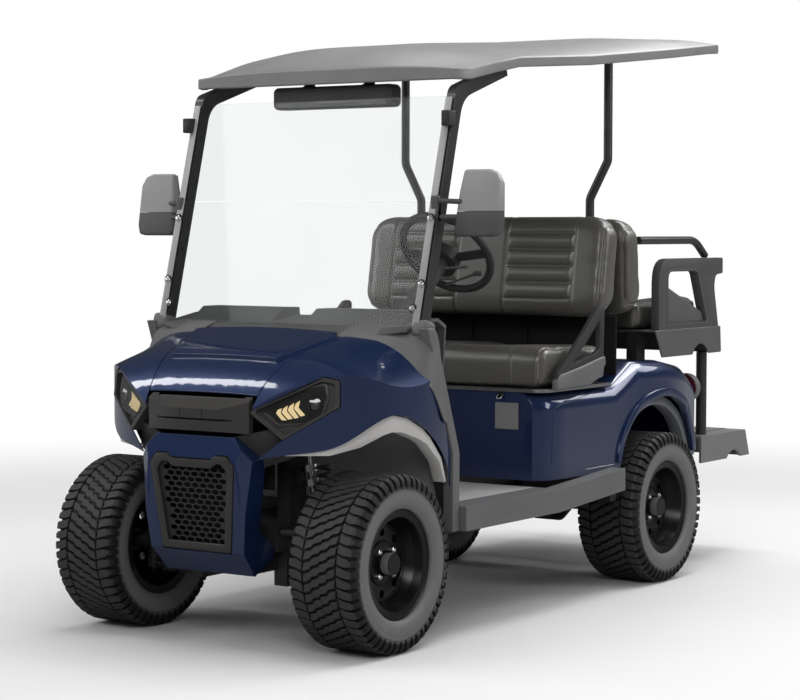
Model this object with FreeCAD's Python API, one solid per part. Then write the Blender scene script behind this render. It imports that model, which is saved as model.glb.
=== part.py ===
import FreeCAD, Part
import math
import os

# Four-seat golf cart with a rear-facing back seat, standing on its four tyres.
# Frame: +Z up, the nose faces -Y, +X is the driver's side (the cart's left).
# The origin is on the ground at the middle of the overall length. Millimetres.

# Overall stations and heights
nose_y = -1500.0
tail_y = 1500.0
front_overhang = 304.0
front_axle_y = nose_y + front_overhang
rear_axle_y = 596.0
half_track = 475.0
skin = 4.0              # moulded body panel thickness
seat_gap = 0.3          # running or resting gap between separate pieces
overrun = 20.0          # how far a cutting shape passes its target

# Wheels
tyre_radius = 279.5
tyre_width = 250.0
rim_radius = 152.4
rim_lip_radius = 173.5
rim_lip_width = 12.0
rim_width = 210.0
rim_wall = 5.0
disc_inset = 62.0       # rim lip plane to the disc's outer face
disc_thickness = 8.0
hub_radius = 34.0
hub_reach = 46.0        # how far the hub cap stands out of the disc
stub_radius = 15.0
stub_fit = 0.05         # radial running clearance of hub on stub
shoulder_drop = 30.0
shoulder_width = 20.0
wall_bulge = 32.0
vent_count = 8
vent_radius = 13.0

# Front body: stations one behind the other from the nose
body_half_width = 575.0
cowl_height = 1000.0
nose_setback = 66.0
apron_length = 103.0
deck_front_length = 131.0
deck_rear_length = 96.0
cowl_length = 77.0
fender_length = 177.0
hood_front_y = nose_y + nose_setback
hood_crease_y = hood_front_y + apron_length
hood_mid_y = hood_crease_y + deck_front_length
hood_rear_y = hood_mid_y + deck_rear_length
post_foot_y = hood_rear_y + cowl_length
body_front_end_y = post_foot_y + fender_length
front_length = body_front_end_y - nose_y
seam_gap = 3.0

# Half-widths across the nose, as shares of the body's half-width
nose_width_shares = {"seam_front": 0.3791, "seam_rear": 0.5235, "bumper_top": 0.2713, "bumper_knee": 0.3791,
                     "bumper_low": 0.3078, "grille_top": 0.287, "grille_low": 0.2348}
seam_front_x = body_half_width * nose_width_shares["seam_front"]
seam_rear_x = body_half_width * nose_width_shares["seam_rear"]
bumper_top_x = body_half_width * nose_width_shares["bumper_top"]
bumper_knee_x = body_half_width * nose_width_shares["bumper_knee"]
bumper_low_x = body_half_width * nose_width_shares["bumper_low"]
grille_top_x = body_half_width * nose_width_shares["grille_top"]
grille_low_x = body_half_width * nose_width_shares["grille_low"]

# Heights on the front body, as shares of the cowl's height
nose_height_shares = {"bumper_top": 0.673, "bumper_knee": 0.601, "grille_top": 0.613, "bar_low": 0.68,
                      "bar_top": 0.797, "arch_low": 0.6, "arch_top": 0.741, "toe_top": 0.712}
bumper_top_z = cowl_height * nose_height_shares["bumper_top"]
bumper_knee_z = cowl_height * nose_height_shares["bumper_knee"]
grille_top_z = cowl_height * nose_height_shares["grille_top"]
bar_low_z = cowl_height * nose_height_shares["bar_low"]
bar_top_z = cowl_height * nose_height_shares["bar_top"]
arch_low_z = cowl_height * nose_height_shares["arch_low"]
arch_top_z = cowl_height * nose_height_shares["arch_top"]
toe_top_z = cowl_height * nose_height_shares["toe_top"]
chin_z = 232.0
bumper_depth = 105.0
bumper_tail = 85.0        # how much further back the chin wraps
bumper_lean_top = 20.0
bumper_lean_low = 28.0
bumper_floor_rise = 48.0
grille_low_z = 310.0
grille_depth = 26.0
grille_rim = 20.0
mesh_thickness = 5.0
mesh_columns = 9
mesh_rows = 15
mesh_web = 5.0

# Cabin
floor_z = 425.0
toe_room = 50.0
floor_front_y = body_front_end_y + toe_room
floor_thickness = 20.0
sill_overhang = 25.0
sill_x = body_half_width + sill_overhang
sill_lead = 16.0
sill_front_y = body_front_end_y + sill_lead
sill_rear_y = 245.0
sill_height = 80.0
sill_rise = 32.0        # the sills climb towards the rear
dash_rear_y = floor_front_y
dash_rise = 30.0
dash_top_z = cowl_height + dash_rise
base_front_y = -225.0
base_top_z = 752.0
base_inset = 35.0       # body's side to the seat base's side
base_half_width = body_half_width - base_inset
base_low_z = 445.0
tail_end_y = 960.0

# Posts and roof
post_inset = 56.0
post_x = body_half_width - post_inset
post_lean = 0.267       # how far the front posts lean back per unit of height
post_setback = 35.0
post_axis_y = post_foot_y + post_setback    # front post axis at its foot
post_foot_drop = 40.0
post_foot_z = cowl_height - post_foot_drop
post_head_z = 1757.0
post_rail_length = 290.0
post_rail_rise = 92.0
post_width = 34.0
post_depth = 46.0
roof_lead = 192.0       # post axis at its foot to the roof's front edge
roof_front_y = post_axis_y + roof_lead
roof_rear_y = 1090.0
roof_overhang = 10.0
roof_half_width = body_half_width + roof_overhang
roof_front_z = 1800.0
roof_rear_z = 2035.0
roof_skin = 22.0
rear_post_inset = 139.0
rear_post_x = roof_half_width - rear_post_inset
rear_post_jog = 74.0
rear_post_inner_x = rear_post_x - rear_post_jog
rear_post_y = 380.0
rear_post_radius = 16.0
rear_post_step_z = 1430.0
rear_post_step = 138.0
screen_inset = 45.0
screen_half_width = body_half_width - screen_inset
screen_thickness = 6.0
screen_split_z = 1405.0
screen_sill = 40.0
screen_head = 20.0
screen_corner = 20.0

# Steering
wheel_x = 275.0
wheel_setback = 350.0
wheel_rise = 236.0
wheel_center = (wheel_x, dash_rear_y + wheel_setback, cowl_height + wheel_rise)
wheel_tilt = 40.0
steering_wheel_radius = 178.0
steering_rim_radius = 14.0
kingpin_inset = 75.0
kingpin_x = half_track - kingpin_inset
kingpin_radius = 18.0

# Seats
seat_inset = 5.0
seat_half_width = base_half_width - seat_inset
cushion_front_y = -232.0
cushion_rear_y = 262.0
pan_clearance = 0.3
pan_thickness = 12.0
pan_low_z = base_top_z + pan_clearance
cushion_low_z = pan_low_z + pan_thickness + pan_clearance
cushion_top_z = 915.0
back_low_z = 985.0
back_top_z = 1378.0
back_front_y = 185.0
back_thickness = 150.0
back_lean = 0.13
rear_back_y = 415.0
rear_back_top_z = 1370.0
tray_inset = 15.0
tray_half_width = base_half_width - tray_inset
tray_front_y = 615.0
tray_rear_y = 1180.0
tray_top_z = 938.0
tray_low_z = 834.0
arm_inset = 20.0
arm_x = tray_half_width - arm_inset
arm_top_z = 1207.0
arm_clearance = 40.0
rear_cushion_half = arm_x - arm_clearance
rear_cushion_front_y = 595.0
rear_cushion_rear_y = 1120.0
rear_cushion_top_z = 1058.0

# Foot platform
platform_front_y = 1060.0
platform_z = 505.0
platform_inset = 40.0
platform_half_width = base_half_width - platform_inset
platform_skirt = 105.0
platform_flare = 40.0
platform_wall = 10.0
platform_top = 12.0
platform_hole_inset = 62.0
platform_hole_radius = 4.5
tread_pad_height = 3.0
tread_pad_margin = 20.0


def vec(x, y, z):
    return FreeCAD.Vector(x, y, z)


def box(low, high):
    """Block between two opposite corners."""
    size = [b - a for a, b in zip(low, high)]
    return Part.makeBox(size[0], size[1], size[2], vec(*low))


def both_sides(shape):
    """The shape and its mirror image across the middle plane."""
    return [shape, mirrored(shape)]


def mirrored(shape):
    return shape.mirror(vec(0, 0, 0), vec(1, 0, 0))


def bend(before, corner, after, radius):
    """Tangent points and middle of the arc that rounds one corner."""
    to_before = (before - corner).normalize()
    to_after = (after - corner).normalize()
    half = to_before.getAngle(to_after) / 2
    reach = radius / math.tan(half)
    middle = (to_before + to_after).normalize() * (radius / math.sin(half) - radius)
    return corner + to_before * reach, corner + middle, corner + to_after * reach


def rounded_wire(points, radius, closed=True):
    """Straight runs joined by tangent arcs; radius is one value or one for each corner."""
    count = len(points)
    radii = radius if isinstance(radius, list) else [radius] * count
    edges = []
    first = last = None
    for i in range(count):
        inner = closed or 0 < i < count - 1
        if inner and radii[i] > 0:
            start, middle, end = bend(points[i - 1], points[i], points[(i + 1) % count], radii[i])
        else:
            start = middle = end = points[i]
        if last is not None and (start - last).Length > Part.Precision.confusion():
            edges.append(Part.LineSegment(last, start).toShape())
        if (end - start).Length > 0:
            edges.append(Part.Arc(start, middle, end).toShape())
        if first is None:
            first = start
        last = end
    if closed:
        edges.append(Part.LineSegment(last, first).toShape())
    return Part.Wire(edges)


def side_plate(outline, x_low, x_high, radius=0):
    """Plate cut to a side-view outline of (y, z) points, between two planes across the cart."""
    wire = rounded_wire([vec(x_low, y, z) for y, z in outline], radius)
    return Part.Face(wire).extrude(vec(x_high - x_low, 0, 0))


def plan_plate(outline, z_low, z_high, radius=0):
    """Plate cut to a plan outline of (x, y) points."""
    wire = rounded_wire([vec(x, y, z_low) for x, y in outline], radius)
    return Part.Face(wire).extrude(vec(0, 0, z_high - z_low))


def front_plate(outline, y_low, y_high, radius=0):
    """Plate cut to a front-view outline of (x, z) points."""
    wire = rounded_wire([vec(x, y_low, z) for x, z in outline], radius)
    return Part.Face(wire).extrude(vec(0, y_high - y_low, 0))


def symmetric(half):
    """Closed outline from its right half, given from bottom to top."""
    return half + [(-x, other) for x, other in reversed(half)]


def strip(points, half_depth):
    """Side-view outline of a bar of even depth along a line of (y, z) points."""
    sides = []
    for first, last in zip(points, points[1:]):
        run = vec(0, last[0] - first[0], last[1] - first[1]).normalize()
        sides.append(vec(0, -run.z, run.y))
    low, high = [], []
    for i, (y, z) in enumerate(points):
        before, after = sides[max(i - 1, 0)], sides[min(i, len(sides) - 1)]
        offset = (before + after) * (half_depth / (1 + before.dot(after)))
        low.append((y - offset.y, z - offset.z))
        high.append((y + offset.y, z + offset.z))
    return low + high[::-1]


def largest(shape):
    return max(shape.Solids, key=lambda solid: solid.Volume)


def clear_of(piece, neighbour, move):
    """The piece, trimmed so that a small move apart from its neighbour stays free."""
    return largest(piece.cut(neighbour).cut(neighbour.translated(move)))


def rod(points, radius, corner_radius):
    """Round bar along straight runs joined by tangent bends."""
    start = points[0]
    pieces = []
    for i in range(1, len(points) - 1):
        before, middle, after = bend(points[i - 1], points[i], points[i + 1], corner_radius)
        pieces.append(cylinder(start, before, radius))
        pieces.append(bent_piece(before, points[i], after, radius, corner_radius))
        start = after
    pieces.append(cylinder(start, points[-1], radius))
    return fused(pieces)


def bent_piece(before, corner, after, radius, corner_radius):
    """Quarter-ring piece of bar between two tangent points."""
    along = (corner - before).normalize()
    inward = ((before - corner).normalize() + (after - corner).normalize()).normalize()
    normal = along.cross(inward).normalize()
    center = before + normal.cross(along) * corner_radius
    turn = math.degrees(along.getAngle((after - corner).normalize()))
    disc = Part.Face(Part.Wire(Part.Circle(before, along, radius).toShape()))
    return disc.revolve(center, normal, turn)


def cylinder(start, end, radius):
    return Part.makeCylinder(radius, (end - start).Length, start, end - start)


def fused(shapes):
    whole = shapes[0]
    for shape in shapes[1:]:
        whole = whole.fuse(shape)
    return whole.removeSplitter()


def revolved(outline):
    """Solid of revolution about the X axis from (x, radius) points."""
    wire = Part.makePolygon([vec(x, 0, r) for x, r in outline + outline[:1]])
    return Part.Face(wire).revolve(vec(0, 0, 0), vec(1, 0, 0), 360)


def save(name, shapes):
    shape = Part.makeCompound(shapes) if isinstance(shapes, list) else shapes
    shape.exportStep("parts/" + name + ".step")


# Wheels

def tyre():
    """Tyre about the X axis: flat crown, slanted shoulders and bulged walls, seated on the rim's lips."""
    half = tyre_width / 2
    wall = rim_lip_radius + seat_gap
    right = [(rim_width / 2, wall), (half, wall + wall_bulge), (half, tyre_radius - shoulder_drop),
             (half - shoulder_width, tyre_radius)]
    return revolved(right + [(-x, r) for x, r in reversed(right)])


def rim():
    """Stepped steel rim with its disc, vent holes and hub cap; the disc's outer face looks to +X."""
    half = rim_width / 2
    disc_x = half - disc_inset
    back_x = disc_x - disc_thickness
    outline = [(half, rim_lip_radius), (half - rim_lip_width, rim_lip_radius), (half - rim_lip_width * 2, rim_radius),
               (rim_lip_width * 2 - half, rim_radius), (rim_lip_width - half, rim_lip_radius), (-half, rim_lip_radius),
               (-half, rim_radius - rim_wall), (back_x, rim_radius - rim_wall), (back_x, hub_radius),
               (back_x - hub_radius, hub_radius), (back_x - hub_radius, 0), (disc_x + hub_reach, 0),
               (disc_x + hub_reach, hub_radius), (disc_x, hub_radius), (disc_x, rim_radius - disc_inset / 2),
               (disc_x + disc_inset / 2, rim_radius - rim_wall * 3), (half - rim_wall, rim_radius - rim_wall)]
    wheel = revolved(outline)
    bore = cylinder(vec(back_x - hub_radius * 2, 0, 0), vec(disc_x + hub_reach / 2, 0, 0), stub_radius + stub_fit)
    wheel = wheel.cut(bore)
    vent_circle = (hub_radius * 2 + rim_radius) / 2 - vent_radius
    for i in range(vent_count):
        angle = 2 * math.pi * i / vent_count
        y, z = vent_circle * math.cos(angle), vent_circle * math.sin(angle)
        wheel = wheel.cut(cylinder(vec(disc_x - overrun, y, z), vec(disc_x + overrun, y, z), vent_radius))
    return wheel


def wheel_places():
    """Each wheel's name, middle point and whether its outer face looks to +X."""
    places = []
    for end, y in (("front", front_axle_y), ("rear", rear_axle_y)):
        places.append((end + "_left", vec(half_track, y, tyre_radius), True))
        places.append((end + "_right", vec(-half_track, y, tyre_radius), False))
    return places


def make_wheels():
    tyre_left, rim_left = tyre(), rim()
    for name, place, is_left in wheel_places():
        for kind, shape in (("tyre", tyre_left), ("rim", rim_left)):
            piece = shape if is_left else mirrored(shape)
            save(kind + "_" + name, piece.translated(place))


# Chassis, axles and steering gear

rail_x = 170.0
rail_width = 50.0
rail_height = 76.0
rail_z = 300.0
rail_setback = 200.0
rail_front_y = nose_y + rail_setback
cross_width = 44.0
tower_z = 640.0
arm_eye_z_low = 205.0
arm_eye_z_high = 360.0
arm_radius = 13.0
low_arm_spread = 90.0
high_arm_spread = 170.0
arm_eye_radius = 20.0
shock_radius = 27.0
shock_rod_radius = 9.0
shock_foot_inset = 100.0
shock_head_inset = 68.0
shock_foot_x = kingpin_x - shock_foot_inset
shock_head_x = shock_foot_x - shock_head_inset
shock_shares = {"body": 0.7, "body_top": 0.5, "overlap": 0.1, "coil_start": 0.14, "coil_span": 0.8, "coil": 0.45}
coil_radius = 30.0
coil_turns = 7
axle_tube_radius = 34.0
axle_end_x = 352.0
diff_radius = 82.0
motor_length = 240.0
motor_shift = 40.0
motor_rise = 20.0
spring_x = 290.0
spring_width = 44.0
spring_half_length = 300.0
spring_thickness = 18.0
spring_sag = 60.0
battery_half_width = 165.0
battery_length = 390.0
battery_height = 230.0
kick_front_y = 230.0    # where the rails rise over the rear axle
kick_rear_y = 330.0
kick_low_z = 385.0
kick_height = 55.0
rail_end_y = 1440.0
hanger_low_z = 185.0
hanger_half = 60.0
outrigger_setback = 10.0
outrigger_front_y = sill_front_y + outrigger_setback
outrigger_rear_y = 262.0
post_beam_z = 600.0
post_beam_height = 40.0
bracket_lead = 85.0
bracket_front_y = rail_front_y - bracket_lead
bracket_clearance = 16.0
shackle_length = 28.0
shock_top_z = 620.0
bracket_reach = 45.0
tie_arm_reach = 95.0
tie_rod_radius = 8.0
carrier_depth = 28.0
carrier_arm_share = 0.8     # of the cowl's height
carrier_arm_height = 30.0


def chassis_frame():
    """Two box rails that rise over the rear axle, with cross members, outriggers and front towers."""
    top = rail_z + rail_height
    kick_top = kick_low_z + kick_height
    outline = [(rail_front_y, rail_z), (kick_front_y, rail_z), (kick_rear_y, kick_low_z), (rail_end_y, kick_low_z),
               (rail_end_y, kick_top), (kick_rear_y - rail_height / 2, kick_top),
               (kick_front_y - rail_height / 2, top), (rail_front_y, top)]
    rail = side_plate(outline, rail_x - rail_width / 2, rail_x + rail_width / 2)
    sides = [rail, shock_tower(), panel_carrier(), arm_hanger(), bumper_bracket()]
    sides += spring_hangers() + platform_bearers()
    pieces = sides + [mirrored(side) for side in sides] + cross_members() + outriggers()
    return fused(pieces)


def cross_members():
    inner = rail_x - rail_width / 2
    half = cross_width / 2
    members = []
    for y in (rail_front_y + half, kick_front_y - rail_height, (rail_front_y + kick_front_y) / 2):
        members.append(box((-inner, y - half, rail_z), (inner, y + half, rail_z + rail_height)))
    for y in (tail_end_y - rail_height, rail_end_y - half):
        members.append(box((-inner, y - half, kick_low_z), (inner, y + half, kick_low_z + kick_height)))
    return members


def outriggers():
    """Beams across the rails that carry the floor's front edge and the rear body's front corners."""
    half = cross_width / 2
    low = rail_z + rail_height - cross_width
    front = box((-sill_inner_x, outrigger_front_y - half, low),
                (sill_inner_x, outrigger_front_y + half, floor_z - floor_thickness - seat_gap))
    rear = box((-base_half_width, outrigger_rear_y - half, low),
               (base_half_width, outrigger_rear_y + half, base_low_z - seat_gap))
    return [front, rear, post_beam()]


def post_beam():
    """Raised beam behind the front seat that the rear posts stand on."""
    half = cross_width / 2
    low = post_beam_z - post_beam_height
    beam = box((-rear_post_inner_x - half, rear_post_y - half, low),
               (rear_post_inner_x + half, rear_post_y + half, post_beam_z))
    for leg in both_sides(box((rail_x - half, rear_post_y - half, kick_low_z + kick_height),
                              (rail_x + half, rear_post_y + half, low))):
        beam = beam.fuse(leg)
    return beam


def bumper_bracket():
    """Foot at the rail's front end that stands on the bumper's floor."""
    outer = bumper_low_x - bracket_clearance
    foot = box((outer - bracket_reach, bracket_front_y, chin_z + skin + seat_gap),
               (outer, rail_front_y + bracket_reach, rail_z + bracket_reach / 2))
    return clear_of(foot, front_bumper(), vec(0, 0, seat_gap))


def panel_carrier():
    """Strut on the shock tower up to the hood's underside, with an arm out to the fender's inside."""
    front, rear = front_axle_y + cross_width - carrier_depth, front_axle_y + cross_width
    inner, arm_z = rail_x - rail_width / 2, cowl_height * carrier_arm_share
    strut = box((inner, front, tower_z), (inner + rail_width, rear, cowl_height))
    arm = box((inner, front, arm_z), (body_half_width, rear, arm_z + carrier_arm_height))
    return strut.fuse(arm).common(upper_skin_solid(skin + seat_gap)).common(front_plan_solid(skin + seat_gap))


def shock_tower():
    half = cross_width
    post = box((rail_x - rail_width / 2, front_axle_y - half, rail_z + rail_height),
               (rail_x + rail_width / 2, front_axle_y + half, tower_z))
    cap = box((rail_x + rail_width / 2, front_axle_y - shock_radius, shock_top_z + seat_gap),
              (shock_head_x + shock_radius, front_axle_y + shock_radius, tower_z))
    return post.fuse(cap)


def arm_hanger():
    """Plate under the rail that holds the lower arm's two feet."""
    return box((rail_x - rail_width / 2, front_axle_y - hanger_half, hanger_low_z),
               (rail_x + rail_width / 2, front_axle_y + hanger_half, rail_z))


def spring_hangers():
    """Brackets outside the rail over both ends of the leaf spring."""
    top = kick_low_z + kick_height
    low = spring_end_z() + spring_thickness + seat_gap
    hangers = []
    for side in (-1, 1):
        y = rear_axle_y + side * (spring_half_length - shackle_length / 2)
        hangers.append(box((rail_x + rail_width / 2, y - shackle_length / 2, low),
                           (spring_x + spring_width / 2, y + shackle_length / 2, top)))
    return hangers


def platform_bearers():
    """Short blocks on the rail's tail that the foot platform rests on."""
    top = platform_z - platform_top - seat_gap
    bearers = []
    for y in (platform_front_y + cross_width, rail_end_y - cross_width / 2):
        bearers.append(box((rail_x - rail_width / 2, y - cross_width / 2, kick_low_z + kick_height),
                           (rail_x + rail_width / 2, y + cross_width / 2, top)))
    return bearers


def front_arms():
    """Lower and upper wishbones of both sides, from the frame to an eye below or above the kingpin."""
    inner_x = rail_x + rail_width / 2 + seat_gap
    shapes = []
    for z, spread in ((arm_eye_z_low, low_arm_spread), (arm_eye_z_high, high_arm_spread)):
        pieces = [cylinder(vec(kingpin_x, front_axle_y, z - arm_radius), vec(kingpin_x, front_axle_y, z + arm_radius),
                           arm_eye_radius)]
        for side in (-1, 1):
            foot = vec(inner_x - arm_radius, front_axle_y + side * spread / 2, z)
            pieces.append(cylinder(foot, vec(kingpin_x, front_axle_y, z), arm_radius))
        if z == arm_eye_z_low:
            pieces.append(box((shock_foot_x - shock_radius, front_axle_y - spread / 2, z - arm_radius),
                              (shock_foot_x + shock_radius, front_axle_y + spread / 2, z + arm_radius)))
        arm = fused(pieces).cut(box((0, front_axle_y - spread, 0), (inner_x, front_axle_y + spread, tower_z)))
        shapes += both_sides(arm)
    return shapes


def front_shocks():
    """Coil-over dampers standing on the lower arms: bellows-like stack of coils round the body."""
    low_z = arm_eye_z_low + arm_radius + seat_gap
    foot = vec(shock_foot_x, front_axle_y, low_z)
    head = vec(shock_head_x, front_axle_y, shock_top_z)
    along = head - foot
    over = along * shock_shares["overlap"]
    body = cylinder(foot - over, foot + along * shock_shares["body_top"], shock_radius * shock_shares["body"])
    pieces = [body, cylinder(foot, head + over, shock_rod_radius)]
    pitch = shock_shares["coil_span"] / coil_turns
    for i in range(coil_turns):
        start = foot + along * (shock_shares["coil_start"] + pitch * i)
        pieces.append(cylinder(start, start + along * (pitch * shock_shares["coil"]), coil_radius))
    shock = fused(pieces)
    room = box((0, front_axle_y - coil_radius * 2, low_z), (kingpin_x, front_axle_y + coil_radius * 2, shock_top_z))
    return both_sides(shock.common(room))


def knuckle():
    """Left upright: kingpin between the arms' eyes, steering arm and the stub that carries the wheel."""
    low = arm_eye_z_low + arm_radius + seat_gap * 2
    high = arm_eye_z_high - arm_radius - seat_gap * 2
    pin = cylinder(vec(kingpin_x, front_axle_y, low), vec(kingpin_x, front_axle_y, high), kingpin_radius)
    hub_x = half_track + rim_width / 2 - disc_inset - disc_thickness - hub_radius
    middle = vec(kingpin_x, front_axle_y, tyre_radius)
    boss = cylinder(middle, vec(hub_x - seat_gap * 2, front_axle_y, tyre_radius), hub_radius * 0.8)
    stub_end = half_track + rim_width / 2 - disc_inset + hub_reach / 2 - seat_gap
    stub = cylinder(middle, vec(stub_end, front_axle_y, tyre_radius), stub_radius)
    arm = box((kingpin_x - kingpin_radius * 2.2, front_axle_y, tyre_radius - kingpin_radius / 2),
              (kingpin_x - kingpin_radius * 0.6, front_axle_y + tie_arm_reach, tyre_radius + kingpin_radius / 2))
    return fused([pin, boss, stub, arm])


def steering_rack():
    """Rack bar across the cart with the tie rods below the steering arms."""
    y = front_axle_y + tie_arm_reach - kingpin_radius
    z = tyre_radius - kingpin_radius / 2 - seat_gap - tie_rod_radius * 1.5
    end_x = kingpin_x - kingpin_radius * 1.4
    bar = cylinder(vec(-end_x, y, z), vec(end_x, y, z), tie_rod_radius)
    ends = []
    for side in (-1, 1):
        ends.append(cylinder(vec(side * end_x, y, z - tie_rod_radius * 1.5),
                             vec(side * end_x, y, z + tie_rod_radius * 1.5), tie_rod_radius * 1.8))
    return fused([bar] + ends)


def rear_axle():
    """Axle tube, differential and motor, with the stubs that carry the wheels."""
    z = tyre_radius
    tube = cylinder(vec(-axle_end_x, rear_axle_y, z), vec(axle_end_x, rear_axle_y, z), axle_tube_radius)
    diff = revolved([(0, 0), (0, diff_radius * 0.6), (diff_radius * 0.4, diff_radius), (diff_radius * 1.6, diff_radius),
                     (diff_radius * 2, diff_radius * 0.6), (diff_radius * 2, 0)]).translated(vec(0, rear_axle_y, z))
    motor = cylinder(vec(diff_radius, rear_axle_y - motor_shift, z + motor_rise),
                     vec(diff_radius - motor_length, rear_axle_y - motor_shift, z + motor_rise), diff_radius * 0.95)
    stub_end = half_track + rim_width / 2 - disc_inset + hub_reach / 2 - seat_gap
    stub = cylinder(vec(-stub_end, rear_axle_y, z), vec(stub_end, rear_axle_y, z), stub_radius)
    return fused([tube, diff, motor, stub])


def spring_end_z():
    return tyre_radius + axle_tube_radius + seat_gap + spring_sag


def rear_springs():
    """Leaf springs, one each side, clamped on the axle tube and held by the frame at both ends."""
    z = tyre_radius + axle_tube_radius + seat_gap
    ends_z = spring_end_z()
    low = [vec(spring_x - spring_width / 2, rear_axle_y - spring_half_length, ends_z),
           vec(spring_x - spring_width / 2, rear_axle_y, z),
           vec(spring_x - spring_width / 2, rear_axle_y + spring_half_length, ends_z)]
    rise = vec(0, 0, spring_thickness)
    edges = [Part.Arc(low[0], low[1], low[2]).toShape(),
             Part.LineSegment(low[2], low[2] + rise).toShape(),
             Part.Arc(low[2] + rise, low[1] + rise, low[0] + rise).toShape(),
             Part.LineSegment(low[0] + rise, low[0]).toShape()]
    return both_sides(Part.Face(Part.Wire(edges)).extrude(vec(spring_width, 0, 0)))


def battery_pack():
    """Battery box carried on the rails under the front seat, ahead of their rise."""
    low_z = rail_z + rail_height + seat_gap
    rear_y = kick_front_y - rail_height / 2 - seat_gap
    return box((-battery_half_width, rear_y - battery_length, low_z), (battery_half_width, rear_y, low_z + battery_height))


# Front body

# Stations of the front body's upper skin, each with (half-width share, height share) points
upper_skin_shares = [
    (nose_y - overrun, [(0, 0.665), (0.40, 0.66), (0.6, 0.645), (0.8, 0.61), (1.08, 0.53)]),
    (hood_front_y, [(0, 0.808), (0.38, 0.804), (0.58, 0.795), (0.79, 0.77), (1.08, 0.665)]),
    (hood_crease_y, [(0, 0.905), (0.38, 0.90), (0.58, 0.89), (0.79, 0.865), (1.08, 0.725)]),
    (hood_mid_y, [(0, 0.955), (0.44, 0.948), (0.66, 0.932), (0.88, 0.872), (1.08, 0.745)]),
    (hood_rear_y, [(0, 0.985), (0.52, 0.975), (0.76, 0.95), (0.92, 0.88), (1.08, 0.755)]),
    (post_foot_y, [(0, 0.995), (0.57, 0.985), (0.83, 0.955), (0.96, 0.88), (1.08, 0.765)]),
    (body_front_end_y, [(0, 1.0), (0.58, 0.99), (0.84, 0.955), (0.97, 0.88), (1.08, 0.77)])]

# Plan outline of the front body, right half from the rear to the nose
front_plan_shares = [(0.975, 1.0), (1.0, 0.86), (1.0, 0.62), (0.97, 0.50), (0.90, 0.375),
                     (0.77, 0.26), (0.515, 0.12), (0.35, 0.055), (0.2, 0.0)]


def upper_skin_solid(drop):
    """Everything below the front body's upper skin, lowered by drop."""
    wires = []
    for y, shares in upper_skin_shares:
        half = [vec(x * body_half_width, y, z * cowl_height - drop) for x, z in shares]
        row = [vec(-p.x, p.y, p.z) for p in reversed(half[1:])] + half
        curve = Part.BSplineCurve()
        curve.interpolate(row)
        low = chin_z - overrun
        corners = [row[-1], vec(row[-1].x, y, low), vec(row[0].x, y, low), row[0]]
        wires.append(Part.Wire([curve.toShape(), Part.makePolygon(corners)]))
    return Part.makeLoft(wires, True, False)


def front_plan_solid(inset):
    """Upright prism of the front body's plan outline, drawn in by inset."""
    length = body_front_end_y - nose_y
    half = []
    for x, y in front_plan_shares:
        half.append(vec(x * body_half_width - inset, nose_y + inset + y * (length - inset), 0))
    row = half + [vec(-p.x, p.y, 0) for p in reversed(half)]
    curve = Part.BSplineCurve()
    curve.interpolate(row)
    wire = Part.Wire([curve.toShape(), Part.LineSegment(row[-1], row[0]).toShape()])
    prism = Part.Face(wire).extrude(vec(0, 0, cowl_height * 2))
    return prism


def front_shell():
    """The whole front skin as one open-backed shell of panel thickness."""
    outer = front_plan_solid(0).common(upper_skin_solid(0))
    inner = front_plan_solid(skin).common(upper_skin_solid(skin))
    return outer.cut(inner)


arch_shares = [(0.0, 0.0), (0.09, 0.16), (0.196, 0.28), (0.285, 0.54), (0.40, 0.894), (0.483, 1.0), (0.584, 0.92),
               (0.72, 0.64), (0.794, 0.43), (0.928, -0.085), (1.0, -0.75)]
arch_lead = 38.0
arch_tail = 28.0
arch_front_y = nose_y + arch_lead
arch_rear_y = body_front_end_y - arch_tail


def arch_outline():
    """The fender's lower edge seen from the side, from the nose to the sill."""
    return [(arch_front_y + y * (arch_rear_y - arch_front_y), arch_low_z + z * (arch_top_z - arch_low_z))
            for y, z in arch_shares]


def arch_cutter():
    """Everything below the fender's edge, beside the bumper."""
    low = chin_z - overrun * 2
    row = [vec(0, y, z) for y, z in arch_outline()]
    curve = Part.BSplineCurve()
    curve.interpolate(row)
    front = nose_y - overrun * 2
    corners = [row[-1], vec(0, row[-1].y, low), vec(0, front, low), vec(0, front, row[0].z), row[0]]
    wire = Part.Wire([curve.toShape(), Part.makePolygon(corners)])
    return Part.Face(wire).extrude(vec(body_half_width * 2, 0, 0))


def fender_rear_cutter():
    """Everything behind the slanted rear edge of the fender."""
    top = cowl_height + overrun * 2
    back = body_front_end_y + overrun * 3
    return side_plate([(post_foot_y, top), (post_foot_y, post_foot_z), (arch_rear_y, arch_low_z),
                       (arch_rear_y, 0), (back, 0), (back, top)], -overrun, body_half_width * 2)


# Head lamp corners: shares of the body's half-width, of the front body's length and of the cowl's height
lamp_shares = [(0.3478, 0.0646, 0.752), (0.7043, 0.2385, 0.862), (0.7757, 0.2769, 0.85), (0.7791, 0.2738, 0.77),
               (0.5217, 0.1262, 0.668)]
lamp_points = [(x * body_half_width, nose_y + y * front_length, z * cowl_height) for x, y, z in lamp_shares]
lamp_tip = lamp_points[0]
lamp_normal = (0.455, -0.885, 0.098)
lamp_depth = 70.0
bezel_width = 16.0
lens_recess = 10.0


def lamp_face(inset):
    """The head lamp's five-sided outline on its own plane, drawn in by inset."""
    normal = vec(*lamp_normal).normalize()
    origin = vec(*lamp_tip)
    points = []
    for place in lamp_points:
        point = vec(*place)
        points.append(point - normal * (point - origin).dot(normal))
    middle = sum(points, vec(0, 0, 0)) * (1 / len(points))
    drawn = []
    for point in points:
        reach = point - middle
        drawn.append(middle + reach * (1 - inset / reach.Length))
    return Part.Face(rounded_wire(drawn, bezel_width / 2)), normal


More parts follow.
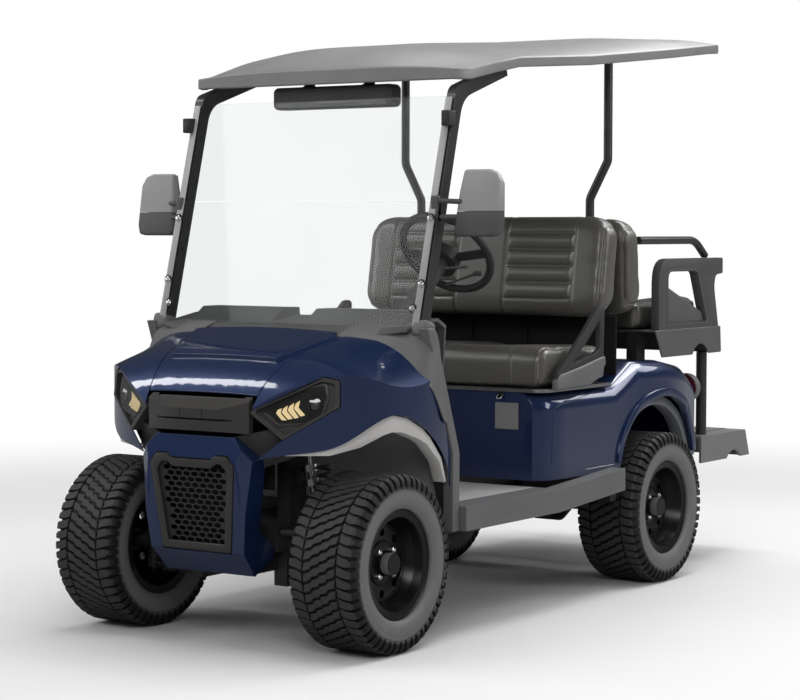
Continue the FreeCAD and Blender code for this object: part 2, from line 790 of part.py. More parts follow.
def lamp_block(inset, out, back):
    """Prism of the lamp's outline, from out ahead of its plane to back behind it."""
    face, normal = lamp_face(inset)
    face.translate(normal * out)
    return face.extrude(normal * -(out + back))


def seam_outline(side_gap):
    """Plan outline of the hood between its two side seams."""
    rear = hood_rear_y
    slope = (seam_rear_x - seam_front_x) / (hood_rear_y - hood_front_y)
    front = nose_y - overrun
    front_x = seam_front_x + slope * (front - hood_front_y) - side_gap
    return [(front_x, front), (seam_rear_x - side_gap, rear - side_gap),
            (side_gap - seam_rear_x, rear - side_gap), (-front_x, front)]


def hood(shell):
    """Middle panel with the raised deck and the sloping front apron."""
    panel = shell.common(plan_plate(seam_outline(seam_gap / 2), bumper_top_z, cowl_height * 2))
    panel = panel.common(side_plate([(hood_front_y, bumper_top_z), (hood_front_y, cowl_height * 2),
                                     (hood_rear_y, cowl_height * 2), (hood_rear_y, bumper_top_z)],
                                    -body_half_width, body_half_width))
    return fused([panel, raised_deck()])


deck_height = 14.0
deck_margin = 34.0


def raised_deck():
    """Raised middle of the hood, ending in a step above the apron."""
    outer = upper_skin_solid(-deck_height)
    inner = upper_skin_solid(skin / 2)
    slope = (seam_rear_x - seam_front_x) / (hood_rear_y - hood_front_y)
    front_x = seam_front_x + slope * (hood_crease_y - hood_front_y) - deck_margin
    outline = [(front_x, hood_crease_y), (seam_rear_x - deck_margin / 2, hood_rear_y - seam_gap),
               (deck_margin / 2 - seam_rear_x, hood_rear_y - seam_gap), (-front_x, hood_crease_y)]
    return outer.cut(inner).common(plan_plate(outline, bumper_top_z, cowl_height * 2))


def fender(shell):
    """Left fender: the shell outside the hood seam, above the arch and ahead of the cowl."""
    hood_space = plan_plate(seam_outline(-seam_gap / 2), bumper_top_z, cowl_height * 2)
    left = shell.common(box((0, nose_y - overrun, chin_z), (body_half_width * 2, body_front_end_y, cowl_height * 2)))
    left = left.cut(hood_space).cut(arch_cutter()).cut(fender_rear_cutter()).cut(cowl_space(0))
    left = left.cut(lamp_block(-seam_gap, lamp_depth, lamp_depth))
    left = left.cut(box((0, nose_y - overrun, chin_z), (bumper_knee_x + seam_gap, hood_front_y + bar_depth, grille_top_z)))
    return largest(left.cut(nose_opening()))


def cowl_space(inset):
    """Space over the dash, behind the hood's rear seam and the slanted seams to the posts."""
    return plan_plate([(-seam_rear_x, hood_rear_y + inset), (seam_rear_x, hood_rear_y + inset),
                       (post_x, post_foot_y + inset), (body_half_width, post_foot_y + inset), (body_half_width, dash_rear_y),
                       (-body_half_width, dash_rear_y), (-body_half_width, post_foot_y + inset),
                       (-post_x, post_foot_y + inset)], toe_top_z, cowl_height * 2)


def nose_opening():
    """Front opening between the fenders that the lamp bar and bumper fill."""
    return front_plate(symmetric([(bumper_knee_x, bumper_knee_z - seam_gap), (lamp_points[4][0], lamp_points[4][2]),
                                  (lamp_tip[0], lamp_tip[2]), (seam_front_x, hood_height_front())]),
                       nose_y - overrun * 2, hood_front_y + overrun * 3)


def hood_height_front():
    return upper_skin_shares[1][1][1][1] * cowl_height


bar_depth = 60.0
bar_knee_shares = (0.6, 1.3)


def lamp_bar():
    """Dark bar across the nose, one moulding with both lamp surrounds."""
    rear = hood_front_y - seam_gap
    profile = [(rear, bar_low_z), (nose_y + seam_gap * 3, bar_low_z + seam_gap * 3),
               (nose_y + seam_gap * 2, bar_low_z + bar_depth * bar_knee_shares[0]),
               (nose_y + seam_gap, bar_low_z + bar_depth * bar_knee_shares[1]),
               (rear, bar_top_z)]
    bar = side_plate(profile, -lamp_tip[0], lamp_tip[0])
    plan = plan_plate([(-lamp_tip[0], lamp_tip[1]), (-lamp_tip[0] / 2, nose_y), (lamp_tip[0] / 2, nose_y),
                       (lamp_tip[0], lamp_tip[1]), (lamp_tip[0], rear), (-lamp_tip[0], rear)], bar_low_z, bar_top_z)
    ring = lamp_block(0, bezel_width / 2, lamp_depth / 2).cut(lamp_block(bezel_width, overrun, lens_recess))
    return fused([bar.common(plan)] + both_sides(ring))


def headlamps():
    """Lens of each head lamp, seated in its surround, with four raised chevrons."""
    lens = lamp_block(bezel_width + seat_gap, -lens_recess / 2, lens_recess - seat_gap)
    return both_sides(lens)


def bumper_half(inset):
    return [(0, chin_z + inset), (bumper_low_x - inset, chin_z + inset), (bumper_knee_x - inset, bumper_knee_z),
            (bumper_top_x - inset, bumper_top_z - inset), (0, bumper_top_z - inset)]


def bumper_block(inset):
    """Shield-shaped block of the bumper: front outline, side profile and plan in one."""
    half = bumper_half(inset)[1:4]
    face = front_plate(symmetric(half), nose_y - overrun, nose_y + bumper_depth + bumper_tail)
    face_y = nose_y + seam_gap * 2 + inset
    rear = nose_y + bumper_depth
    lift = inset * 2.5      # keeps the sloping floor's wall when the inner block is moved back
    side = side_plate([(face_y + bumper_lean_top, bumper_top_z), (face_y, bumper_knee_z),
                       (face_y + bumper_lean_low, grille_low_z), (face_y + bumper_depth - seam_gap * 3, chin_z + lift),
                       (rear + bumper_tail, chin_z + bumper_floor_rise + lift), (rear + bumper_tail, grille_low_z),
                       (rear, grille_low_z + bumper_tail * 0.8), (rear, bumper_top_z)],
                      -bumper_knee_x, bumper_knee_x)
    plan = plan_plate(symmetric([(bumper_knee_x, rear + bumper_tail), (bumper_knee_x, nose_y + bumper_depth / 3 + inset),
                                 (grille_top_x, nose_y + inset)]), chin_z, bumper_top_z)
    return face.common(side).common(plan)


def grille_outline(inset):
    """Grille surround seen from the front, with chamfered upper corners and a notched top."""
    corner = grille_rim * 1.3
    return symmetric([(grille_low_x - inset, grille_low_z + inset), (grille_top_x - inset, grille_top_z - corner),
                      (grille_top_x - corner - inset / 2, grille_top_z - inset),
                      (grille_top_x / 2 + corner / 2, grille_top_z - inset),
                      (grille_top_x / 2, grille_top_z - corner / 2 - inset)])


def front_bumper():
    """Painted shield with the grille's opening through it."""
    shield = bumper_block(0).cut(bumper_block(skin).translated(vec(0, skin * 2, 0)))
    opening = front_plate(grille_outline(-seam_gap), nose_y - overrun, nose_y + bumper_depth + overrun)
    return shield.cut(opening)


def grille():
    """Surround with the honeycomb plate fused into it."""
    lean = bumper_lean_low / (bumper_knee_z - grille_low_z)
    front = nose_y + seam_gap
    ring = front_plate(grille_outline(0), front, front + grille_depth).cut(
        front_plate(grille_outline(grille_rim), front - overrun, front + grille_depth + overrun))
    plate = front_plate(grille_outline(grille_rim / 2), front + grille_depth / 2, front + grille_depth / 2 + mesh_thickness)
    plate = plate.cut(Part.makeCompound(honeycomb(front)))
    whole = fused([ring, plate])
    whole.rotate(vec(0, front, grille_top_z), vec(1, 0, 0), math.degrees(math.atan(lean)))
    return whole


def honeycomb(front):
    """Hexagonal holes in staggered columns inside the surround."""
    width = (grille_top_x - grille_rim) * 2
    pitch_x = width / mesh_columns
    height = grille_top_z - grille_low_z - grille_rim * 2
    pitch_z = height / mesh_rows
    holes = []
    for row in range(mesh_rows):
        z = grille_low_z + grille_rim + pitch_z * (row + 0.5)
        half = grille_low_x + (grille_top_x - grille_low_x) * (z - grille_low_z) / (grille_top_z - grille_low_z)
        half -= grille_rim
        if row == mesh_rows - 1:
            z -= mesh_web
        for column in range(-mesh_columns, mesh_columns + 1):
            x = pitch_x * (column + (0.5 if row % 2 else 0)) * 0.98
            if abs(x) + pitch_x / 2 < half:
                holes.append(hexagon(x, z, (pitch_x - mesh_web) / 2, (pitch_z * 1.28 - mesh_web) / 2, front))
    return holes


def hexagon(x, z, half_x, half_z, front):
    points = [(x - half_x, z - half_z / 2), (x, z - half_z), (x + half_x, z - half_z / 2),
              (x + half_x, z + half_z / 2), (x, z + half_z), (x - half_x, z + half_z / 2)]
    return front_plate(points, front, front + grille_depth + overrun)


# Cabin

dash_wall = 8.0
dash_front_drop = 35.0
pod_shares = [(-0.80, -0.14), (0.12, 0.86)]
sill_depth = 64.0
sill_inner_x = sill_x - sill_depth


def dash_outline():
    """Side view of the whole dash, filled."""
    thick = dash_wall
    top = cowl_height
    return [(hood_rear_y + seam_gap, top - dash_front_drop), (post_foot_y, top), (dash_rear_y - thick * 6, dash_top_z),
            (dash_rear_y, dash_top_z - thick * 3), (dash_rear_y - thick * 2, top * 0.84), (dash_rear_y - thick * 8, toe_top_z)]


def dashboard():
    """Cowl band and dash in one moulding between the posts, with the two raised pods."""
    thick = dash_wall
    profile = dash_outline()
    inner = [(y - thick, z - thick * 1.2) for y, z in reversed(profile[1:-1])]
    outline = profile + [(dash_rear_y - thick * 9, toe_top_z)] + inner + [(profile[0][0], profile[0][1] - thick)]
    half = post_x - post_width / 2 - seam_gap
    band = side_plate(outline, -half, half).common(cowl_space(seam_gap))
    pods = []
    for low_x, high_x in pod_shares:
        pods.append(side_plate([(post_foot_y + thick * 4, cowl_height), (dash_rear_y - thick * 14, dash_top_z + thick * 3),
                                (dash_rear_y - thick * 3, dash_top_z + thick * 3), (dash_rear_y - thick * 2, cowl_height)],
                               low_x * post_x, high_x * post_x))
    return fused([band] + pods)


cowl_trim_width = 44.0


def cowl_sides():
    """Trim that runs from each windscreen post down the fender's rear edge to the sill."""
    rear = sill_front_y - seat_gap
    head_z = post_foot_z + cowl_trim_width
    outline = [(post_foot_y + seam_gap, head_z), (arch_rear_y + seam_gap, arch_low_z),
               (arch_rear_y + seam_gap, floor_z - sill_height), (rear, floor_z - sill_height),
               (rear, arch_low_z), (post_foot_y + seam_gap + cowl_trim_width, head_z)]
    return both_sides(side_plate(outline, sill_inner_x + seat_gap, body_half_width))


toe_wall = 14.0


def floor_pan():
    """Floor with the slanted toe board at its front."""
    toe_top = toe_top_z - seat_gap
    toe_y = dash_rear_y - dash_wall * 9
    outline = [(base_front_y - seat_gap, floor_z), (floor_front_y, floor_z), (toe_y, toe_top), (toe_y - toe_wall, toe_top),
               (floor_front_y - toe_wall, floor_z - floor_thickness), (base_front_y - seat_gap, floor_z - floor_thickness)]
    half = post_x - post_width / 2 - seam_gap
    return side_plate(outline, -half, half)


sill_wall = 12.0


def sills():
    """Rocker panels along the floor's edge, climbing towards the rear, hollow beneath."""
    low = floor_z - sill_height
    floor_edge = post_x - post_width / 2 - seam_gap + seat_gap
    profile = [(sill_front_y, low), (sill_front_y, floor_z), (base_front_y, floor_z),
               (sill_rear_y, floor_z + sill_rise), (sill_rear_y, low + sill_rise), (base_front_y, low)]
    sill = side_plate(profile, floor_edge, sill_x)
    core = box((floor_edge - overrun, sill_front_y + skin, low - overrun),
               (sill_x - skin, sill_rear_y - skin, floor_z - sill_wall))
    post_space = box((0, sill_front_y - overrun, low - overrun),
                     (sill_inner_x, outrigger_front_y + cross_width, floor_z + overrun))
    body_space = box((0, base_front_y - seat_gap, low - overrun),
                     (base_half_width + seat_gap, sill_rear_y + overrun, base_top_z))
    return both_sides(largest(sill.cut(core).cut(post_space).cut(body_space)))


pedal_shares = [(0.366, 0.119), (0.636, 0.177)]     # middle and width, of the posts' half-spacing
pedal_reach = 130.0
pedal_depth = 22.0


def pedals():
    """Accelerator and brake pedal on levers that stand on the floor ahead of the toe board."""
    shapes = []
    for x, width in [(middle * post_x, wide * post_x) for middle, wide in pedal_shares]:
        foot = vec(x, floor_front_y + pedal_depth * 2, floor_z + seat_gap)
        head = foot + vec(0, pedal_depth, pedal_reach)
        lever = cylinder(foot - vec(0, 0, pedal_depth), head, pedal_depth / 3)
        pad = box((x - width / 2, head.y - pedal_depth / 3, head.z - pedal_reach / 2),
                  (x + width / 2, head.y + pedal_depth / 3, head.z + pedal_reach / 3))
        pedal = lever.fuse(pad).cut(box((0, dash_rear_y - pedal_depth, floor_z - pedal_reach),
                                        (post_x, base_front_y, floor_z + seat_gap)))
        shapes.append(pedal)
    return shapes


def tilt_axis():
    angle = math.radians(wheel_tilt)
    return vec(0, math.cos(angle), math.sin(angle))


column_radius = 30.0
column_reach = 520.0
stalk_length = 125.0
stalk_radius = 5.0


def steering_column():
    """Column shroud from the dash up to the wheel's hub, with the switch stalk."""
    axis = tilt_axis()
    center = vec(*wheel_center)
    top = center - axis * (steering_rim_radius * 4)
    shroud = cylinder(center - axis * column_reach, top, column_radius)
    dash = side_plate(dash_outline(), 0, post_x).fuse(side_plate(
        [(post_foot_y, cowl_height), (dash_rear_y - dash_wall * 14, dash_top_z + dash_wall * 3),
         (dash_rear_y - dash_wall * 3, dash_top_z + dash_wall * 3), (dash_rear_y - dash_wall * 2, cowl_height)], 0, post_x))
    shroud = clear_of(shroud, dash, vec(0, seat_gap * 2, 0))
    start = top - axis * column_radius
    stalk = cylinder(start, start + vec(stalk_length, 0, stalk_radius * 2), stalk_radius)
    return fused([shroud, stalk])


def steering_wheel():
    """Rim, three spokes and hub, made flat on the ground plane and then tilted onto the column."""
    reach = steering_wheel_radius - steering_rim_radius
    sides = 8
    ring_points = []
    for i in range(sides):
        angle = 2 * math.pi * (i + 0.5) / sides
        ring_points.append(vec(reach + steering_rim_radius * math.cos(angle), 0, steering_rim_radius * math.sin(angle)))
    ring = Part.Face(Part.makePolygon(ring_points + ring_points[:1])).revolve(vec(0, 0, 0), vec(0, 0, 1), 360)
    low = seat_gap - steering_rim_radius * 4
    hub = cylinder(vec(0, 0, low), vec(0, 0, -steering_rim_radius), steering_wheel_radius * 0.34)
    spokes = []
    half = steering_rim_radius
    for x, y in ((1, 0), (-1, 0), (0, -1)):
        start = vec(0, 0, -steering_rim_radius * 2.4)
        end = vec(x * reach, y * reach, 0)
        run = end - start
        side = vec(0, 0, 1).cross(run).normalize() * half
        thick = run.cross(side).normalize() * (half / 2)
        corners = [start + side - thick, start - side - thick, start - side + thick, start + side + thick]
        spokes.append(Part.Face(Part.makePolygon(corners + corners[:1])).extrude(run))
    wheel = fused([ring, hub] + spokes)
    wheel.rotate(vec(0, 0, 0), vec(1, 0, 0), wheel_tilt - 90)
    return wheel.translated(vec(*wheel_center))


# Rear body

# Cross-sections of the rear body: station share along its length, half-width share, height
rear_body_shares = [(0.0, 0.90, 1.0), (0.018, 0.945, 1.0), (0.05, 0.985, 1.0), (0.12, 1.0, 1.0), (0.43, 1.0, 1.0),
                    (0.56, 1.02, 1.105), (0.72, 1.055, 1.10), (0.86, 1.04, 1.065), (1.0, 0.96, 0.99)]
shoulder = 66.0


def rear_body_solid(inset):
    """Lofted block of the rear body, drawn in by inset."""
    wires = []
    length = tail_end_y - base_front_y
    for along, wide, high in rear_body_shares:
        y = base_front_y + inset + along * (length - 2 * inset)
        half = base_half_width * wide - inset
        top = base_top_z * high - inset
        low = base_low_z - (overrun if inset else 0)
        points = [vec(-half, y, low), vec(-half, y, top), vec(half, y, top), vec(half, y, low)]
        wires.append(rounded_wire(points, [0, shoulder - inset, shoulder - inset, 0]))
    return Part.makeLoft(wires, True, True)


rear_arch_half = 290.0
rear_arch_shift = 10.0
rear_arch_rise = 250.0
hatch_inset = 115.0
hatch_half = base_half_width - hatch_inset


def rear_body():
    """Painted rear body: side panels, front panel of the seat base and fenders over the rear wheels."""
    shell = rear_body_solid(0).cut(rear_body_solid(skin))
    middle = rear_axle_y + rear_arch_shift
    low = base_low_z - seat_gap
    front, crest, rear = (vec(-body_half_width, middle - rear_arch_half, low),
                          vec(-body_half_width, middle, base_low_z + rear_arch_rise),
                          vec(-body_half_width, middle + rear_arch_half, low))
    arch = Part.Face(Part.Wire([Part.Arc(front, crest, rear).toShape(), Part.LineSegment(rear, front).toShape()]))
    shell = shell.cut(arch.extrude(vec(body_half_width * 2, 0, 0)))
    shell = shell.cut(box((-hatch_half, base_front_y + shoulder, base_top_z - shoulder),
                          (hatch_half, cushion_rear_y - overrun, base_top_z + shoulder)))
    for side in (-1, 1):
        shell = shell.cut(cylinder(vec(side * rear_post_inner_x, rear_post_y, base_low_z),
                                   vec(side * rear_post_inner_x, rear_post_y, base_top_z * 2),
                                   rear_post_radius + seam_gap))
    return shell


flap_size = 92.0
flap_inset = 155.0
flap_x = base_half_width - flap_inset
flap_z = 668.0
flap_thickness = 6.0


def charger_flap():
    """Square flap over the charging socket, hinged along its upper edge."""
    half = flap_size / 2
    front = base_front_y - seat_gap - flap_thickness
    return box((flap_x - half, front, flap_z - half), (flap_x + half, front + flap_thickness, flap_z + half))


tail_lamp_radius = 52.0
tail_lamp_inset = 70.0
tail_lamp_x = base_half_width - tail_lamp_inset
tail_lamp_z = 702.0


def tail_lamps():
    """Domed round lamps at the rear corners of the body."""
    radius = tail_lamp_radius
    base = cylinder(vec(tail_lamp_x, tail_end_y + seat_gap, tail_lamp_z),
                    vec(tail_lamp_x, tail_end_y + radius * 0.3, tail_lamp_z), radius)
    dome = Part.makeSphere(radius * 1.1, vec(tail_lamp_x, tail_end_y - radius * 0.3, tail_lamp_z))
    dome = dome.common(cylinder(vec(tail_lamp_x, tail_end_y + radius * 0.2, tail_lamp_z),
                                vec(tail_lamp_x, tail_end_y + radius, tail_lamp_z), radius))
    return both_sides(fused([base, dome]))


# Seats

def cushion_block(side_outline, side_radius, half_width, corner_radius, z_low, z_high):
    """Soft block: a side profile across the cart with rounded ends seen from the front."""
    block = side_plate(side_outline, -half_width, half_width, side_radius)
    ends = front_plate([(-half_width, z_low), (half_width, z_low), (half_width, z_high), (-half_width, z_high)],
                       nose_y, tail_y, corner_radius)
    return block.common(ends)


cushion_edge = 20.0
cushion_fall = 20.0


def seat_pan():
    """Board under the front cushion, its edge showing as a thin bright line."""
    corners = [(-seat_half_width, cushion_front_y), (seat_half_width, cushion_front_y),
               (seat_half_width, cushion_rear_y), (-seat_half_width, cushion_rear_y)]
    front, rear = pan_thickness * 5, pan_thickness
    return plan_plate(corners, pan_low_z, pan_low_z + pan_thickness, [front, front, rear, rear])


def seat_cushion_front():
    outline = [(cushion_front_y, cushion_low_z), (cushion_rear_y, cushion_low_z),
               (cushion_rear_y, cushion_top_z - cushion_fall), (cushion_front_y, cushion_top_z)]
    return cushion_block(outline, [cushion_edge, cushion_edge, cushion_edge * 2, cushion_edge * 3], seat_half_width,
                         cushion_edge * 2, cushion_low_z - seat_gap, cushion_top_z + seat_gap)


def back_outline(front_y, low_z, top_z, thick, lean):
    return [(front_y, low_z), (front_y + thick * 0.8, low_z), (front_y + thick * 0.8 + lean * (top_z - low_z), top_z),
            (front_y + thick * 0.1 + lean * (top_z - low_z), top_z)]


def seat_back_front():
    outline = back_outline(back_front_y, back_low_z, back_top_z, back_thickness, back_lean)
    return cushion_block(outline, cushion_edge * 2, seat_half_width, cushion_edge * 5, back_low_z, back_top_z)


def seat_back_rear():
    outline = [(2 * rear_back_y + back_thickness - y, z) for y, z in
               back_outline(rear_back_y, back_low_z, rear_back_top_z, back_thickness, back_lean / 3)]
    outline.reverse()
    return cushion_block(outline, cushion_edge * 2, seat_half_width * 0.96, cushion_edge * 5, back_low_z, rear_back_top_z)


def seat_cushion_rear():
    front = rear_cushion_front_y
    outline = [(front, tray_top_z + seat_gap), (rear_cushion_rear_y, tray_top_z + seat_gap),
               (rear_cushion_rear_y, rear_cushion_top_z), (front, rear_cushion_top_z - cushion_fall)]
    return cushion_block(outline, [cushion_edge, cushion_edge * 2, cushion_edge * 2, cushion_edge], rear_cushion_half,
                         cushion_edge * 2, tray_top_z, rear_cushion_top_z)


seat_bar_radius = 14.0
seat_bar_shares = (0.191, 0.644)     # of the front seat back's height
pad_half = 22.0
tray_wall = 8.0


def seat_frame():
    """Cross bars between the rear posts with pads behind each seat back, and the tray's supports."""
    shapes = []
    reach = rear_post_inner_x - rear_post_radius - seat_gap
    front, rear = seat_back_front(), seat_back_rear()
    for share in seat_bar_shares:
        z = back_low_z + share * (back_top_z - back_low_z)
        bar = cylinder(vec(-reach, rear_post_y, z), vec(reach, rear_post_y, z), seat_bar_radius)
        for side in (-1, 1):
            x = side * reach / 2
            pad = box((x - pad_half, back_front_y, z - seat_bar_radius),
                      (x + pad_half, rear_back_y + back_thickness, z + seat_bar_radius))
            pad = clear_of(pad, front, vec(0, seat_gap, 0))
            pad = middle_piece(pad.cut(rear).cut(rear.translated(vec(0, -seat_gap, 0))))
            bar = bar.fuse(pad)
        shapes.append(bar.removeSplitter())
    return shapes + tray_supports()


def tray_supports():
    """Blocks between the rear body's shoulders and the tray's floor."""
    body = rear_body_solid(0)
    shapes = []
    for x in both(rear_post_inner_x + rear_post_radius * 3):
        block = box((x - pad_half, tray_front_y + tray_wall, base_top_z),
                    (x + pad_half, tray_front_y + tray_wall + pad_half * 3, tray_top_z - tray_wall - seat_gap))
        shapes.append(clear_of(block, body, vec(0, 0, seat_gap)))
    return shapes


def both(value):
    return [-value, value]


def middle_piece(shape):
    """The solid nearest to the rear posts."""
    return min(shape.Solids, key=lambda solid: abs(solid.CenterOfMass.y - rear_post_y))


restraint_width = 26.0
# Side view: shares of the cushion's length from its front, and of its top's height over the seat base
restraint_shares = [(0.119, 0.221), (0.747, 0.27), (0.79, 0.822), (0.775, 0.933), (0.713, 0.933), (0.753, 1.583),
                    (0.741, 1.816), (0.682, 1.767), (0.423, 0.614), (0.166, 0.405)]
restraint_window_shares = [(0.53, 0.601), (0.672, 0.601), (0.709, 1.429)]
restraint_tab_shares = (0.51, 0.294)


def restraint_place(along, high):
    return (cushion_front_y + along * (cushion_rear_y - cushion_front_y), base_top_z + high * (cushion_top_z - base_top_z))


def hip_restraints():
    """Moulded side restraints: a foot on the body's shoulder and a slanted arm beside the cushion."""
    x_low, x_high = base_half_width + seat_gap, base_half_width + restraint_width
    shape = side_plate([restraint_place(*share) for share in restraint_shares], x_low, x_high)
    window = side_plate([restraint_place(*share) for share in restraint_window_shares], x_low - overrun, x_high + overrun)
    tab_y, tab_top = restraint_place(*restraint_tab_shares)
    tab = box((x_low, tab_y, base_top_z - shoulder), (x_low + skin, tab_y + restraint_width * 2, tab_top))
    return both_sides(fused([shape.cut(window), tab]))


# Posts, roof and windscreen

def post_point(z, x=post_x):
    return vec(x, post_axis_y + post_lean * (z - post_foot_z), z)


def front_posts():
    """Windscreen posts: up beside the toe board, leaning back past the screen and on into the roof."""
    foot = (outrigger_front_y, floor_z - floor_thickness)
    knee = post_point(post_foot_z)
    head = post_point(post_head_z)
    line = [foot, (knee.y, knee.z), (head.y, head.z), (head.y + post_rail_length, head.z + post_rail_rise)]
    post = side_plate(strip(line, post_depth / 2), post_x - post_width / 2, post_x + post_width / 2,
                      [0, post_depth, post_depth * 2, 0, 0, post_depth, post_depth, 0])
    ground = box((0, nose_y, 0), (body_half_width, tail_y, floor_z - floor_thickness))
    return both_sides(clear_of(post.cut(ground), roof(), vec(0, 0, -seat_gap)))


def rear_posts():
    """Tube posts from the rear outrigger up between the seat backs, stepping out to the roof."""
    y = rear_post_y
    points = [vec(rear_post_inner_x, y, post_beam_z + seat_gap), vec(rear_post_inner_x, y, rear_post_step_z),
              vec(rear_post_x, y, rear_post_step_z + rear_post_step), vec(rear_post_x, y, roof_rear_z)]
    post = rod(points, rear_post_radius, rear_post_radius * 2.5)
    return both_sides(clear_of(post, roof(), vec(0, 0, -seat_gap)))


# Roof sections: station share, half-width share, lower edge and crown above it in millimetres
roof_edge_drop = 34.0
roof_crown = 62.0
roof_shares = [(0.0, 0.90, 0.0, 0.25), (0.03, 0.955, 0.0, 0.7), (0.10, 0.99, 0.15, 0.95), (0.17, 1.0, 0.27, 1.0),
               (0.43, 1.0, 0.45, 1.0), (0.75, 1.0, 0.76, 0.9), (0.95, 0.99, 0.97, 0.55), (1.0, 0.93, 1.0, 0.2)]


def roof_section(y, half, edge_z, crown):
    side = edge_z + roof_edge_drop
    points = [vec(-half, y, edge_z), vec(-half, y, side), vec(-half * 0.8, y, side + crown * 0.55),
              vec(0, y, side + crown), vec(half * 0.8, y, side + crown * 0.55), vec(half, y, side),
              vec(half, y, edge_z)]
    curve = Part.BSplineCurve()
    curve.interpolate(points[1:-1])
    return Part.Wire([Part.LineSegment(points[0], points[1]).toShape(), curve.toShape(),
                      Part.makePolygon([points[-2], points[-1], points[0]])])


def roof_solid(inset):
    wires = []
    below = inset and overrun
    for along, wide, rise, crown in roof_shares:
        y = roof_front_y + inset + along * (roof_rear_y - roof_front_y - 2 * inset)
        edge = roof_front_z + rise * (roof_rear_z - roof_edge_drop - roof_front_z) - below
        wires.append(roof_section(y, roof_half_width * wide - inset, edge, roof_crown * crown - inset + below))
    return Part.makeLoft(wires, True, True)


def roof():
    """Moulded canopy, crowned and hollow beneath, with raised strakes along its top."""
    return roof_solid(0).cut(roof_solid(roof_skin))


def screen_pane(low_z, high_z):
    """Clear pane in front of the posts, between two heights."""
    ahead = post_depth / 2 + seat_gap
    along = (post_point(high_z) - post_point(low_z)).normalize()
    normal = along.cross(vec(1, 0, 0))
    if normal.y > 0:
        normal = normal * -1
    low = post_point(low_z, 0) + normal * ahead
    high = post_point(high_z, 0) + normal * ahead
    half = vec(screen_half_width, 0, 0)
    wire = rounded_wire([low - half, low + half, high + half, high - half], screen_corner)
    return Part.Face(wire).extrude(normal * screen_thickness)


def windscreen():
    """Lower and upper pane of the folding screen."""
    gap = seam_gap * 2
    return [screen_pane(post_foot_z + screen_sill, screen_split_z - gap),
            screen_pane(screen_split_z, post_head_z - screen_head)]


light_bar_half = 247.0
light_bar_height = 76.0
light_bar_depth = 60.0
light_bar_setback = 58.0
light_bar_y = roof_front_y + light_bar_setback
light_bar_z = 1760.0


def light_bar():
    """Long bar lamp hung by two lugs under the roof's front edge."""
    half = light_bar_height / 2
    lamp = front_plate([(-light_bar_half, light_bar_z - half), (light_bar_half, light_bar_z - half),
                        (light_bar_half, light_bar_z + half), (-light_bar_half, light_bar_z + half)],
                       light_bar_y, light_bar_y + light_bar_depth, half / 2)
    lugs = []
    for x in both(light_bar_half / 2):
        lugs.append(box((x - half / 2, light_bar_y + half, light_bar_z),
                        (x + half / 2, light_bar_y + light_bar_depth, roof_rear_z)))
    return clear_of(fused([lamp] + lugs), roof(), vec(0, 0, -seat_gap))


mirror_low_z = 1292.0
mirror_high_z = 1508.0
mirror_width = 160.0
mirror_inner_x = body_half_width
mirror_outer_x = mirror_inner_x + mirror_width
mirror_setback = 59.5
mirror_depth = 72.0
mirror_edge = 20.0
mirror_arm_radius = 12.0


def mirrors():
    """Door mirrors on short arms from the windscreen posts."""
    arm_z = (mirror_low_z + mirror_high_z) / 2
    post = post_point(arm_z)
    rear = post.y + mirror_setback
    outline = [(mirror_inner_x, mirror_low_z), (mirror_outer_x, mirror_low_z), (mirror_outer_x, mirror_high_z),
               (mirror_inner_x + mirror_edge / 2, mirror_high_z)]
    housing = front_plate(outline, rear - mirror_depth, rear, [mirror_edge, mirror_edge * 1.6, mirror_edge * 2, mirror_edge])
    start = vec(post_x + post_width / 2 + seat_gap, post.y, arm_z)
    elbow = vec(mirror_inner_x + mirror_edge, post.y, arm_z)
    return both_sides(fused([housing, cylinder(start, elbow, mirror_arm_radius)]))


# Rear seat carrier and foot platform

tray_chamfer = 60.0
tray_recess = 80.0


def rear_tray():
    """Moulded carrier of the rear seat: a shallow tray with a curved recess under each side."""
    outline = [(tray_front_y, tray_top_z), (tray_front_y + tray_chamfer, tray_low_z), (tray_rear_y, tray_low_z),
               (tray_rear_y - tray_wall, tray_top_z)]
    block = side_plate(outline, -tray_half_width, tray_half_width, [0, tray_wall, tray_wall, 0])
    core = box((tray_wall - tray_half_width, tray_front_y, tray_low_z - overrun),
               (tray_half_width - tray_wall, tray_rear_y - tray_wall * 4, tray_top_z - tray_wall))
    recess_y = tray_front_y + (tray_rear_y - tray_front_y) * 0.68
    low = tray_low_z - tray_recess / 2
    recess = cylinder(vec(-tray_half_width - overrun, recess_y, low), vec(tray_half_width + overrun, recess_y, low), tray_recess)
    return block.cut(core).cut(recess)


arm_bar = 34.0


def armrests():
    """Armrest frames with an inner triangular panel, standing on the tray."""
    low = tray_top_z + seat_gap
    front, rear = tray_front_y + arm_bar, tray_rear_y - arm_bar * 0.6
    top = arm_top_z
    outer = [(front, low), (rear, low), (rear + arm_bar * 0.3, top - arm_bar), (rear + arm_bar, top - arm_bar * 0.8),
             (rear + arm_bar, top), (front + arm_bar * 0.2, top)]
    frame = side_plate(outer, arm_x - arm_bar / 2, arm_x + arm_bar / 2, [0, 0, arm_bar / 4, 0, arm_bar / 4, arm_bar])
    window = side_plate([(front + arm_bar, low + arm_bar * 4.2), (rear - arm_bar * 1.4, low + arm_bar * 2.1),
                         (rear - arm_bar * 1.2, top - arm_bar), (front + arm_bar * 1.3, top - arm_bar)],
                        arm_x - arm_bar, arm_x + arm_bar, arm_bar / 3)
    recess = side_plate([(front + arm_bar, low + arm_bar), (rear - arm_bar, low + arm_bar),
                         (rear - arm_bar, low + arm_bar * 1.9), (front + arm_bar, low + arm_bar * 4.0)],
                        arm_x + arm_bar / 4, arm_x + arm_bar, arm_bar / 4)
    return both_sides(frame.cut(window).cut(recess))


